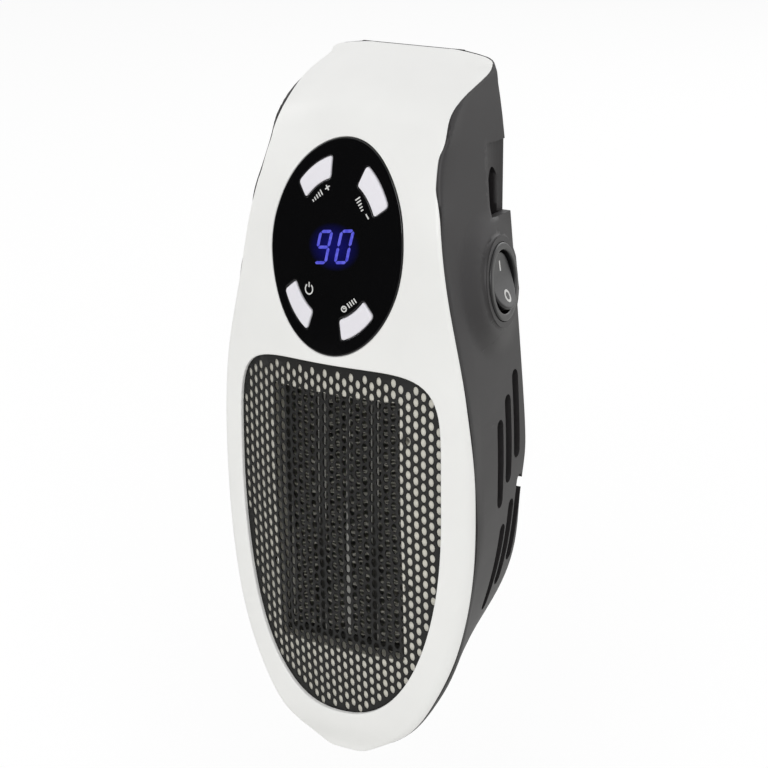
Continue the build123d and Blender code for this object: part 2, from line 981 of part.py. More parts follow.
# Thermal cut-out, lying on the roof of the tunnel
with BuildPart() as thermal_cutout:
    with BuildSketch(Plane.XY.offset(duct_high + duct_wall)):
        with Locations((0, -(core_back + cutout_radius))):
            Circle(cutout_radius)
    extrude(amount=cutout_thickness)
finish(thermal_cutout.part, "thermal_cutout")
finish(
    screw_set(
        [(0, duct_top_tab)],
        duct_top_tab_depth,
        small_head_radius,
        small_head_height,
        small_shank_radius - screw_fit,
        duct_wall + duct_screw_bite - screw_fit,
    )
    + screw_set(
        [(0, duct_low_tab)],
        duct_low_tab_depth,
        small_head_radius,
        small_head_height,
        small_shank_radius - screw_fit,
        duct_wall + duct_screw_bite - screw_fit,
    ),
    "duct_screws",
)

# Fan frame: ring, rear spider with its bearing tube, and four screw ears
tube_inner = fan_shaft_radius + fan_bore_gap
tube_outer = tube_inner + fan_tube_wall
with BuildPart() as fan_frame:
    add(rod(0, fan_height, fan_ring_radius, fan_back, fan_front))
    for side, height in fan_ear_spots:
        add(rod(side, height, fan_ear_radius, fan_front - fan_ear_thickness, fan_front))
    add(
        rod(0, fan_height, fan_ring_radius - fan_ring_wall, fan_back, fan_front),
        mode=Mode.SUBTRACT,
    )
    add(rod(0, fan_height, fan_stator_radius, fan_back, fan_back + fan_plate))
    with BuildSketch(Plane.XZ.offset(fan_back)):
        with Locations((0, fan_height)):
            with PolarLocations((fan_ring_radius - fan_ring_wall) / 2, fan_struts):
                Rectangle(fan_ring_radius, fan_strut_width)
    extrude(amount=fan_plate)
    add(rod(0, fan_height, tube_outer, fan_back, fan_tube_front))
    add(
        rod(0, fan_height, tube_inner, fan_back + fan_plate / 2, fan_tube_front),
        mode=Mode.SUBTRACT,
    )
    for side, height in fan_ear_spots:
        add(
            rod(side, height, small_shank_radius + clearance, fan_back, fan_front),
            mode=Mode.SUBTRACT,
        )
finish(fan_frame.part, "fan_frame")
stator_back = fan_back + fan_plate
with BuildPart() as fan_stator:
    with BuildSketch(Plane.XZ.offset(stator_back)):
        with Locations((0, fan_height)):
            Circle(tube_outer + fan_stator_rim)
            with PolarLocations(0, fan_stator_poles):
                with Locations((fan_stator_radius / 2, 0)):
                    Rectangle(fan_stator_radius, fan_stator_arm)
                with Locations((fan_stator_radius - fan_stator_rim / 2, 0)):
                    Rectangle(fan_stator_rim, 3 * fan_stator_arm)
            Circle(tube_outer, mode=Mode.SUBTRACT)
    extrude(amount=fan_stator_depth)
finish(fan_stator.part, "fan_stator")
finish(
    rod(0, fan_height, fan_shaft_radius, fan_back + fan_plate, fan_cup_front - fan_cup_wall),
    "fan_shaft",
)


def fan_blade():
    """One pitched blade, lofted from the hub to the tip and standing upright."""
    root = fan_hub_radius - fan_blade_sink
    tip = fan_ring_radius - fan_ring_wall - fan_tip_gap
    middle = (fan_cup_back + fan_cup_front) / 2
    with BuildPart() as blade:
        for radius, pitch in ((root, fan_blade_root_pitch), (tip, fan_blade_tip_pitch)):
            plane = Plane(
                origin=(0, -middle, fan_height + radius), x_dir=(1, 0, 0), z_dir=(0, 0, 1)
            )
            with BuildSketch(plane):
                Rectangle(fan_blade_chord, fan_blade_thickness, rotation=pitch)
        loft()
    return blade.part


with BuildPart() as fan_rotor:
    add(rod(0, fan_height, fan_hub_radius, fan_cup_back, fan_cup_front))
    blade = fan_blade()
    fan_axis = Axis((0, 0, fan_height), (0, 1, 0))
    for k in range(fan_blades):
        add(blade.rotate(fan_axis, 360 * k / fan_blades))
    add(
        rod(0, fan_height, fan_hub_radius - fan_cup_wall, fan_cup_back, fan_cup_front - fan_cup_wall),
        mode=Mode.SUBTRACT,
    )
finish(fan_rotor.part, "fan_rotor")
finish(
    screw_set(
        fan_ear_spots,
        fan_front - fan_ear_thickness,
        small_head_radius,
        small_head_height,
        small_shank_radius - screw_fit,
        fan_ear_thickness + duct_wall,
    ),
    "fan_screws",
)

# Rocker switch: a bezelled cup in the seat, two tabs behind it, and the rocker on two pins
pivot = seat.offset(-rocker_pivot_depth)
tilted = Plane(
    origin=pivot.origin,
    x_dir=pivot.x_dir,
    z_dir=pivot.z_dir.rotate(Axis((0, 0, 0), pivot.x_dir), rocker_tilt),
)
with BuildPart() as switch_body:
    with BuildSketch(seat):
        Circle(bezel_radius)
    extrude(amount=bezel_thickness)
    with BuildSketch(seat):
        Circle(switch_body_radius)
    extrude(amount=-switch_body_length)
    with BuildSketch(seat.offset(-switch_well)):
        Circle(switch_well_radius)
    extrude(amount=switch_well + bezel_thickness, mode=Mode.SUBTRACT)
    pin_plane = Plane(origin=pivot.origin, x_dir=pivot.y_dir, z_dir=pivot.x_dir)
    with BuildSketch(pin_plane):
        Circle(rocker_pivot_radius + rocker_pivot_gap)
    extrude(amount=switch_body_radius, both=True, mode=Mode.SUBTRACT)
finish(switch_body.part, "switch_body")
with BuildPart() as switch_tabs:
    for spot in (-1, 1):
        with BuildSketch(seat.offset(-switch_body_length)):
            with Locations((0, spot * terminal_spacing / 2)):
                Rectangle(terminal_width, terminal_thickness)
        extrude(amount=-terminal_length)
finish(switch_tabs.part, "switch_tabs")
rocker_side = Plane(origin=tilted.origin, x_dir=tilted.y_dir, z_dir=tilted.x_dir)
with BuildPart() as rocker:
    with BuildSketch(rocker_side):
        with BuildLine():
            Polyline(
                (-rocker_radius, rocker_end_rise),
                (0, rocker_middle_rise),
                (rocker_radius, rocker_end_rise),
                (rocker_radius, 0),
                (rocker_radius / 2, -rocker_low),
                (-rocker_radius / 2, -rocker_low),
                (-rocker_radius, 0),
                close=True,
            )
        make_face()
    extrude(amount=rocker_radius, both=True)
    with BuildSketch(tilted.offset(-rocker_low)):
        Circle(rocker_radius)
    extrude(amount=rocker_low + 2 * rocker_end_rise, mode=Mode.INTERSECT)
    with BuildSketch(rocker_side):
        Circle(rocker_pivot_radius)
    extrude(amount=rocker_pivot_reach, both=True)
finish(rocker.part, "rocker")

# Plug block and its two blades
with BuildPart() as plug_block:
    add(block(-block_half_width, block_half_width, -block_half_height, block_half_height, 0, block_depth))
    add(
        block(
            -block_half_width - block_flange,
            block_half_width + block_flange,
            -block_half_height - block_flange,
            block_half_height + block_flange,
            wall + block_seat_gap,
            wall + block_flange_thickness,
        )
    )
    for side in (-1, 1):
        near = side * blade_spacing / 2 - blade_thickness / 2
        add(
            block(
                near,
                near + blade_thickness,
                -blade_width / 2,
                blade_width / 2,
                0,
                block_depth,
            ),
            mode=Mode.SUBTRACT,
        )
finish(plug_block.part, "plug_block")
for side, name in ((-1, "left_blade"), (1, "right_blade")):
    near = side * blade_spacing / 2 - blade_thickness / 2
    with BuildPart() as plug_blade:
        with BuildSketch(Plane.YZ.offset(near)):
            with Locations(((blade_reach - block_depth - blade_tail) / 2, 0)):
                Rectangle(blade_reach + block_depth + blade_tail, blade_width)
        extrude(amount=blade_thickness)
        chamfer(
            plug_blade.edges().filter_by(Axis.X).group_by(Axis.Y)[-1],
            length=blade_width / 4,
        )
        with BuildSketch(Plane.YZ.offset(near)):
            with Locations((blade_hole_reach, 0)):
                Circle(blade_hole_radius)
        extrude(amount=blade_thickness, mode=Mode.SUBTRACT)
    finish(plug_blade.part, name)

# Power board with its relay, film capacitor and fuse
power_board_front = power_board_back + board_thickness
power_post_spots = [
    (side, height)
    for side in (power_board_left + power_post_inset, power_board_right - power_post_inset)
    for height in (power_board_low + power_post_inset, power_board_high - power_post_inset)
]
with BuildPart() as power_board:
    add(
        block(
            power_board_left,
            power_board_right,
            power_board_low,
            power_board_high,
            power_board_back,
            power_board_front,
        )
    )
    for side, height in power_post_spots:
        add(rod(side, height, small_shank_radius + clearance, 0, body_depth), mode=Mode.SUBTRACT)
finish(power_board.part, "power_board")


def on_board(side, height, width, rise, depth):
    """Boxed part standing on the power board, centred at a side and height."""
    return block(
        side - width / 2,
        side + width / 2,
        height - rise / 2,
        height + rise / 2,
        power_board_front,
        power_board_front + depth,
    )


finish(on_board(relay_side, relay_rise, relay_width, relay_height, relay_depth), "relay")
with BuildPart() as film_capacitor:
    add(
        on_board(
            capacitor_side, capacitor_rise, capacitor_width, capacitor_height, capacitor_depth
        )
    )
    fillet(film_capacitor.edges().filter_by(Axis.Y), radius=capacitor_height / 6)
finish(film_capacitor.part, "film_capacitor")
with BuildPart() as fuse:
    with BuildSketch(Plane.XY.offset(fuse_rise - fuse_length / 2)):
        with Locations((fuse_side, -(power_board_front + fuse_radius))):
            Circle(fuse_radius)
    extrude(amount=fuse_length)
finish(fuse.part, "fuse")
with BuildPart() as power_board_screws:
    for side, height in power_post_spots:
        head = power_board_front + small_head_height
        add(rod(side, height, small_head_radius, power_board_front, head))
        add(
            rod(
                side,
                height,
                small_shank_radius - screw_fit,
                power_board_front - small_length,
                power_board_front,
            )
        )
finish(power_board_screws.part, "power_board_screws")
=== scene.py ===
"""Plug-in fan heater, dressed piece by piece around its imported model.

Sizes are in millimetres in the same frame as the model: the origin is midway between the two
plug blades on the wall's plane, +Z is up and the heater faces -Y. Depth means distance from
the wall, so it is -Y. Flat points are (side, height) pairs, and an inset says how far behind
the outer form a surface lies.
"""
import logging
from dataclasses import dataclass
from enum import Enum, IntEnum
from functools import cache, partial
from typing import Callable

import bmesh
import bpy
import numpy as np
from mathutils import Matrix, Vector
from mathutils.geometry import delaunay_2d_cdt


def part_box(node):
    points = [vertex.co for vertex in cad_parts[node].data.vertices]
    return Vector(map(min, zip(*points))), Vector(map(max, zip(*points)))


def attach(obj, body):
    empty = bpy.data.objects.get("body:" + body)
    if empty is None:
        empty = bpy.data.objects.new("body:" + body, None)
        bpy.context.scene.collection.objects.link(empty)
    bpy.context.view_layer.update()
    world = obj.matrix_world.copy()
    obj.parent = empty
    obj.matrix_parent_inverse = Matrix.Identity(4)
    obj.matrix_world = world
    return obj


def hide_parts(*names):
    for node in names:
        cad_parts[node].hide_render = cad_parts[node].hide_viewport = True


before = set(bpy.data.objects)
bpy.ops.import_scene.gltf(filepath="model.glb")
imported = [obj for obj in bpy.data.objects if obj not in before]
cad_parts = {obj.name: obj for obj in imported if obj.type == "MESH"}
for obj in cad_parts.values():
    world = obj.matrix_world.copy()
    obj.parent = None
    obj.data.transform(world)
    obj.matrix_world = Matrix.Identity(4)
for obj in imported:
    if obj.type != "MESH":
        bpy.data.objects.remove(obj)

MM = 0.001
# Radius at which a turned form closes on its axis, once its doubles are merged
CLOSED = 0.001
log = logging.getLogger("fan_heater")

Array = np.ndarray
Number = np.ndarray | float
Loop = Callable[[float], Array]
Colour = tuple[float, float, float, float]
Triple = tuple[float, float, float]
Pair = tuple[float, float]


class Body(Enum):
    """Bodies of the model that pieces ride on."""

    HOUSING = "housing"
    WARMER = "key_warmer"
    COOLER = "key_cooler"
    POWER = "key_power"
    TIMER = "key_timer"
    ROCKER = "rocker"
    FAN = "fan"


def full_turn(count: int) -> Array:
    """Evenly spaced angles round a circle, in radians."""
    return np.linspace(0, 2 * np.pi, count, endpoint=False)


def points_of(*parts: Number) -> Array:
    """Put arrays and numbers side by side as the coordinates of points."""
    return np.stack(np.broadcast_arrays(*parts), axis=-1).astype(float)


def unit(vector: Array) -> Array:
    """Scale a vector to length one."""
    return vector / np.linalg.norm(vector)


def eased(share: Array) -> Array:
    """Share that rises softly from nought to one."""
    share = np.clip(share, 0, 1)
    return share * share * (3 - 2 * share)


def linear(code: str, share: float = 1.0) -> Colour:
    """Turn an sRGB hex colour into linear light.

    Args:
        code: six hex digits.
        share: what the light is multiplied by.
    Returns:
        Red, green, blue and alpha, linear.
    """
    parts = np.array([int(code[k : k + 2], 16) for k in (0, 2, 4)]) / 255
    light = np.where(parts <= 0.04045, parts / 12.92, ((parts + 0.055) / 1.055) ** 2.4)
    return (*np.minimum(light * share, 1).tolist(), 1.0)


def add_node(
    tree: bpy.types.NodeTree,
    kind: str,
    links: dict | None = None,
    stops: tuple[tuple[float, Colour], ...] = (),
    **settings: object,
) -> bpy.types.Node:
    """Add one shader node with its settings and links.

    Args:
        tree: the material's or world's node tree.
        kind: the node's type.
        links: input name or number, to a socket that is linked or a value that is set.
        stops: position and colour of each stop, for a ramp.
        settings: the node's own properties.
    Returns:
        The new node.
    """
    node = tree.nodes.new(kind)
    for name, value in settings.items():
        setattr(node, name, value)
    for key, value in (links or {}).items():
        if isinstance(value, bpy.types.NodeSocket):
            tree.links.new(value, node.inputs[key])
        else:
            node.inputs[key].default_value = value
    for number, (position, colour) in enumerate(stops):
        node.color_ramp.elements[number].position = position
        node.color_ramp.elements[number].color = colour
    return node


def add_object(name: str, data: bpy.types.ID) -> bpy.types.Object:
    """Add an object with its data to the scene, and return it."""
    thing = bpy.data.objects.new(name, data)
    bpy.context.scene.collection.objects.link(thing)
    return thing


def blank_material(name: str) -> tuple[bpy.types.Material, bpy.types.NodeTree]:
    """Make a material with an empty node tree, and return both."""
    material = bpy.data.materials.new(name)
    material.use_nodes = True
    material.node_tree.nodes.clear()
    return material, material.node_tree


@dataclass(frozen=True)
class Finish:
    """What a surface is made of. Each kind of finish wires its own shader."""

    name: str
    colour: str

    def shader(self, tree: bpy.types.NodeTree, place: bpy.types.NodeSocket) -> bpy.types.Node:
        """Wire the shader of the finish, on Object coordinates, and return it."""
        raise NotImplementedError

    @cache
    def material(self) -> bpy.types.Material:
        """Return the material of the finish, which is built the first time."""
        material, tree = blank_material(self.name)
        place = add_node(tree, "ShaderNodeTexCoord").outputs["Object"]
        surface = self.shader(tree, place).outputs["BSDF"]
        add_node(tree, "ShaderNodeOutputMaterial", {"Surface": surface})
        return material


@dataclass(frozen=True)
class MouldedPlastic(Finish):
    """Injection-moulded plastic: a body colour under the fine etched grain of the mould.

    The grain breaks up the highlight, and slow swells in colour and gloss are the flow of the
    melt and the handling since.
    """

    roughness: float
    grain: float = 0.35
    grain_depth: float = 0.006
    flow: float = 24.0
    swell: float = 0.02
    gloss_swing: float = 0.05
    ior: float = 1.53

    def shader(self, tree: bpy.types.NodeTree, place: bpy.types.NodeSocket) -> bpy.types.Node:
        """Wire the shader: the flow sets tone and gloss, the grain sets the bump."""
        scale = 1 / (self.flow * MM)
        flow = add_node(
            tree, "ShaderNodeTexNoise", {"Vector": place, "Scale": scale, "Detail": 3.0}
        )
        scale = 1 / (self.grain * MM)
        grain = add_node(
            tree,
            "ShaderNodeTexNoise",
            {"Vector": place, "Scale": scale, "Detail": 2.0, "Roughness": 0.6},
        )
        dark, light = (linear(self.colour, 1 + side * self.swell) for side in (-1, 1))
        low, high = 0.3, 0.7
        tone = add_node(
            tree,
            "ShaderNodeValToRGB",
            {"Fac": flow.outputs["Fac"]},
            stops=((low, dark), (high, light)),
        )
        gloss = add_node(
            tree,
            "ShaderNodeMapRange",
            {
                "Value": flow.outputs["Fac"],
                "From Min": low,
                "From Max": high,
                "To Min": self.roughness - self.gloss_swing / 2,
                "To Max": self.roughness + self.gloss_swing / 2,
            },
        )
        bump = add_node(
            tree,
            "ShaderNodeBump",
            {"Height": grain.outputs["Fac"], "Distance": self.grain_depth * MM, "Strength": 1.0},
        )
        return add_node(
            tree,
            "ShaderNodeBsdfPrincipled",
            {
                "Base Color": tone.outputs["Color"],
                "Roughness": gloss.outputs["Result"],
                "Normal": bump.outputs["Normal"],
                "IOR": self.ior,
            },
        )


@dataclass(frozen=True)
class WorkedMetal(Finish):
    """Sheet or turned metal: a tinted mirror roughened by fine lines along its grain."""

    roughness: float
    line: float = 0.15
    stretch: Triple = (1.0, 1.0, 0.06)
    depth: float = 0.003
    stain: float = 0.12
    stain_size: float = 6.0

    def shader(self, tree: bpy.types.NodeTree, place: bpy.types.NodeSocket) -> bpy.types.Node:
        """Wire the shader: the lines set gloss and bump, a cloud of stains sets the tone."""
        along = add_node(tree, "ShaderNodeMapping", {"Vector": place, "Scale": self.stretch})
        scale = 1 / (self.line * MM)
        lines = add_node(
            tree,
            "ShaderNodeTexNoise",
            {"Vector": along.outputs["Vector"], "Scale": scale, "Detail": 3.0},
        )
        scale = 1 / (self.stain_size * MM)
        cloud = add_node(
            tree, "ShaderNodeTexNoise", {"Vector": place, "Scale": scale, "Detail": 4.0}
        )
        tone = add_node(
            tree,
            "ShaderNodeValToRGB",
            {"Fac": cloud.outputs["Fac"]},
            stops=((0.3, linear(self.colour, 1 - self.stain)), (0.7, linear(self.colour))),
        )
        gloss = add_node(
            tree,
            "ShaderNodeMapRange",
            {
                "Value": lines.outputs["Fac"],
                "To Min": self.roughness * 0.75,
                "To Max": self.roughness * 1.25,
            },
        )
        bump = add_node(
            tree,
            "ShaderNodeBump",
            {"Height": lines.outputs["Fac"], "Distance": self.depth * MM, "Strength": 1.0},
        )
        return add_node(
            tree,
            "ShaderNodeBsdfPrincipled",
            {
                "Base Color": tone.outputs["Color"],
                "Metallic": 1.0,
                "Roughness": gloss.outputs["Result"],
                "Normal": bump.outputs["Normal"],
            },
        )


@dataclass(frozen=True)
class LitSegment(Finish):
    """A lit display segment: a coloured film with its own light, a little uneven."""

    glow: str
    strength: float
    mottle: float = 1.2

    def shader(self, tree: bpy.types.NodeTree, place: bpy.types.NodeSocket) -> bpy.types.Node:
        """Wire the shader: a mottle between the film's colour and the glow gives light."""
        scale = 1 / (self.mottle * MM)
        uneven = add_node(
            tree, "ShaderNodeTexNoise", {"Vector": place, "Scale": scale, "Detail": 2.0}
        )
        ramp = add_node(
            tree,
            "ShaderNodeValToRGB",
            {"Fac": uneven.outputs["Fac"]},
            stops=((0.35, linear(self.colour)), (0.65, linear(self.glow))),
        )
        return add_node(
            tree,
            "ShaderNodeBsdfPrincipled",
            {
                "Base Color": linear(self.colour),
                "Roughness": 0.4,
                "Emission Color": ramp.outputs["Color"],
                "Emission Strength": self.strength,
            },
        )


@dataclass(frozen=True)
class LitHaze(Finish):
    """Glossy black plastic with a soft oval of light coming through it, gone at its rim."""

    glow: str
    middle: Triple
    half: Triple

    def shader(self, tree: bpy.types.NodeTree, place: bpy.types.NodeSocket) -> bpy.types.Node:
        """Wire the shader: light falls off with distance from the oval's middle."""
        centred = add_node(
            tree,
            "ShaderNodeMapping",
            {
                "Vector": place,
                "Location": tuple(-m / h for m, h in zip(self.middle, self.half)),
                "Scale": tuple(1 / (h * MM) for h in self.half),
            },
        )
        falloff = add_node(
            tree,
            "ShaderNodeTexGradient",
            {"Vector": centred.outputs["Vector"]},
            gradient_type="SPHERICAL",
        )
        ramp = add_node(
            tree,
            "ShaderNodeValToRGB",
            {"Fac": falloff.outputs["Fac"]},
            stops=((0.0, (0.0, 0.0, 0.0, 1.0)), (0.7, linear(self.glow))),
        )
        return add_node(
            tree,
            "ShaderNodeBsdfPrincipled",
            {
                "Base Color": linear(self.colour),
                "Roughness": 0.08,
                "IOR": 1.49,
                "Emission Color": ramp.outputs["Color"],
                "Emission Strength": 1.0,
            },
        )


# Satin white ABS, spark-etched mould: a soft wide highlight with hardly any grain
WHITE_SHELL = MouldedPlastic("white_abs_satin", "f5f5f3", 0.30, grain=0.5, grain_depth=0.002)
# Dark grey ABS with a coarser etch: dull, with a fine sparkle along the light's edge
GREY_HOUSING = MouldedPlastic("dark_grey_abs_etched", "272526", 0.5, grain=0.4)
# Glass-filled nylon: near black and matt, so the holes stand out
GRILLE_GREY = MouldedPlastic("grille_glass_filled_nylon", "0b0b0a", 0.6, grain=0.3)
# Polished acrylic: a deep black mirror with long, faint waves
PANEL_GLOSS = MouldedPlastic(
    "panel_polished_acrylic", "0c0c0d", 0.08, grain=3.0, grain_depth=0.001, ior=1.49
)
# Cool white ABS with a strong etch: matt keys that stand out from the gloss
KEY_WHITE = MouldedPlastic("key_white_abs", "eeecf2", 0.5, grain_depth=0.012)
# Pad-printed ink: flat and slightly grey
MARK_INK = MouldedPlastic("white_pad_print", "d6d6d4", 0.6, grain=0.2)
# Heat-resistant nylon in its natural cream: shows warm through the grille
DUCT_CREAM = MouldedPlastic("cream_heat_resistant_nylon", "efece0", 0.5)
# Dark PBT: a matt surround that lets the metal of the core stand out. The same dark colour is also
# painted shade in the grooves of the bars.
DARK_FRAME_AND_GROOVE_SHADE = MouldedPlastic("core_frame_pbt_and_groove_shade", "2a2926", 0.6)
# Black nylon from a polished mould: even gloss on cup and rocker
SWITCH_BLACK = MouldedPlastic("switch_gloss_nylon", "101011", 0.3, grain=0.5, grain_depth=0.003)
ROCKER_BLACK = MouldedPlastic("rocker_gloss_nylon", "0d0d0e", 0.3, grain=0.5, grain_depth=0.002)
# Black PBT of the plug and the fan's frame: plain and half matt
PLUG_BLACK = MouldedPlastic("plug_block_pbt", "222222", 0.5)
# Solder mask over laminate: green, half glossy, with the weave as a low bump
BOARD_GREEN = MouldedPlastic("board_solder_mask", "1f5a35", 0.35, grain=1.4, grain_depth=0.02)
# Moulded cases of the parts on the board
RELAY_CASE = MouldedPlastic("relay_case_pbt", "1d2430", 0.35)
CAPACITOR_BOX = MouldedPlastic("capacitor_box_yellow", "c89a20", 0.4)
# Glazed ceramic: pale and smooth
FUSE_CERAMIC = MouldedPlastic("fuse_ceramic_body", "d8d4c6", 0.3, grain=0.2)
# Grey nylon of the fan's wheel: a dull sheen
FAN_GREY = MouldedPlastic("fan_wheel_nylon", "4a4a4c", 0.45)
# Lit film behind the lens, and the light that it spreads in the acrylic
LIT_BLUE = LitSegment("digit_lit_blue", "30309a", "5c5ec0", 0.9)
DIGIT_HAZE = LitHaze(
    "digit_light_in_lens", "0c0c0d", "0a0a58", (0.35, -42.0, 2.68), (7.6, 7.6, 6.2)
)
# Aluminium: rolled strip of the fins, drawn bars, and the bright strip between the packs
FIN_METAL = WorkedMetal("fin_rolled_aluminium", "e4e2d9", 0.42, stretch=(0.1, 1.0, 1.0))
BAR_METAL = WorkedMetal("bar_drawn_aluminium", "d6d5d0", 0.38)
STRIP_METAL = WorkedMetal("centre_strip_bright_aluminium", "f0efea", 0.35)
# Zinc plate: bright and even in every direction
SCREW_METAL = WorkedMetal("screw_zinc_plate", "c9c8c2", 0.3, stretch=(1.0, 1.0, 1.0))
# Plated brass of the blades: warm, with lines along their length
BLADE_METAL = WorkedMetal("blade_plated_brass", "d9c690", 0.25, stretch=(1.0, 0.05, 1.0))
# Stacked steel laminations: dull, with lines round the stack
LAMINATE = WorkedMetal("stator_laminations", "8a8a8c", 0.45, stretch=(0.1, 1.0, 0.1))


class Shape:
    """Points and faces of one piece, gathered in millimetres before they become a mesh."""

    merge: float = 0.001

    def __init__(self) -> None:
        """Start empty."""
        self.points: list[Array] = []
        self.faces: list[list[int]] = []
        self.count = 0

    def add_points(self, points: Array) -> int:
        """Add points and return the number of the first one."""
        flat = np.asarray(points, float).reshape(-1, 3)
        start = self.count
        self.points.append(flat)
        self.count += len(flat)
        return start

    def add_faces(self, faces: Array | list, start: int = 0) -> None:
        """Add faces whose point numbers are counted from a start."""
        self.faces.extend((np.asarray(faces) + start).tolist())

    def grid(self, points: Array, wrap: bool = False) -> None:
        """Add a grid of points and the quads between them.

        Args:
            points: rows by columns by 3.
            wrap: whether the last column joins the first.
        """
        rows, columns = points.shape[:2]
        start = self.add_points(points)
        number = np.arange(rows * columns).reshape(rows, columns)
        if wrap:
            number = np.concatenate([number, number[:, :1]], axis=1)
        corners = (number[:-1, :-1], number[:-1, 1:], number[1:, 1:], number[1:, :-1])
        self.add_faces(np.stack(corners, axis=-1).reshape(-1, 4), start)

    def cap(self, ring: Array) -> None:
        """Close a ring of points with one face."""
        start = self.add_points(ring)
        self.faces.append(list(range(start, start + len(ring))))

    def prism(self, low: Array, high: Array) -> None:
        """Add a solid between two rings of points that go round the same way."""
        self.grid(np.stack([low, high]), wrap=True)
        self.cap(low)
        self.cap(high[::-1])

    def tube(self, edges: Array, wrap: bool = False) -> None:
        """Add a solid bar with a face between each two of its edges.

        Args:
            edges: lines along the bar, in order round it.
            wrap: whether the bar is a ring, and so has no end faces.
        """
        self.grid(np.concatenate([edges, edges[:1]]), wrap)
        if not wrap:
            self.cap(edges[:, 0])
            self.cap(edges[:, -1][::-1])

    def piece(
        self,
        name: str,
        finish: Finish,
        body: Body,
        slot: str,
        replaces: tuple[str, ...] = (),
        sharp: float = 32.0,
    ) -> bpy.types.Object:
        """Turn the gathered points and faces into a finished piece.

        Args:
            name: the piece's name.
            finish: what it is made of.
            body: the body that it rides on.
            slot: the record's material slot.
            replaces: CAD nodes that it stands for.
            sharp: angle in degrees above which an edge stays crisp.
        Returns:
            The new object.
        """
        mesh = bpy.data.meshes.new(name)
        mesh.from_pydata((np.concatenate(self.points) * MM).tolist(), [], self.faces)
        work = bmesh.new()
        work.from_mesh(mesh)
        bmesh.ops.remove_doubles(work, verts=work.verts, dist=self.merge * MM)
        bmesh.ops.recalc_face_normals(work, faces=work.faces)
        work.to_mesh(mesh)
        work.free()
        return dress(name, mesh, finish, body, slot, replaces, sharp)


def dress(
    name: str,
    mesh: bpy.types.Mesh,
    finish: Finish,
    body: Body,
    slot: str,
    replaces: tuple[str, ...],
    sharp: float,
) -> bpy.types.Object:
    """Give a mesh its shading, finish, body and the nodes that it replaces.

    Args:
        name: the piece's name.
        mesh: its mesh, in metres.
        finish: what it is made of.
        body: the body that it rides on.
        slot: not used.
        replaces: CAD nodes that it stands for.
        sharp: angle in degrees above which an edge stays crisp.
    Returns:
        The new object.
    """
    mesh.polygons.foreach_set("use_smooth", np.ones(len(mesh.polygons), bool))
    mesh.set_sharp_from_angle(angle=np.radians(sharp))
    mesh.materials.clear()
    mesh.materials.append(finish.material())
    piece = add_object(name, mesh)
    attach(piece, body.value)
    if replaces:
        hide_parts(*replaces)
    log.info("%s: %d faces", name, len(mesh.polygons))
    return piece


@dataclass(frozen=True)
class Outline:
    """One level section of the body, or many at once: each field is a number or an array."""

    front: Array
    back: Array
    back_side: Array
    radius: Array
    arc: Array
    centre_side: Array
    centre_depth: Array
    turn: Array
    end: Array

    @property
    def turn_side(self) -> Array:
        """Half width at which the front arc gives way to the corner."""
        return self.corner(self.turn)[0]

    @property
    def corner_length(self) -> Array:
        """Length of the corner arc."""
        return self.radius * (self.end - self.turn)

    def corner(self, angle: Array) -> tuple[Array, Array]:
        """Half width and depth of the corner arc at an angle from straight ahead."""
        side = self.centre_side + self.radius * np.sin(angle)
        return side, self.centre_depth + self.radius * np.cos(angle)

    def arc_depth(self, across: Array) -> Array:
        """Depth of the front arc at distances from the middle."""
        return self.front - self.arc + np.sqrt(np.maximum(self.arc**2 - across**2, 0))


class Size(IntEnum):
    """Columns of the body's stations, after the height's share in column 0."""

    WIDTH = 1
    DEPTH = 2
    CORNER = 3
    SEAM = 4
    BACK = 5
    BACK_WIDTH = 6
    ARC = 7


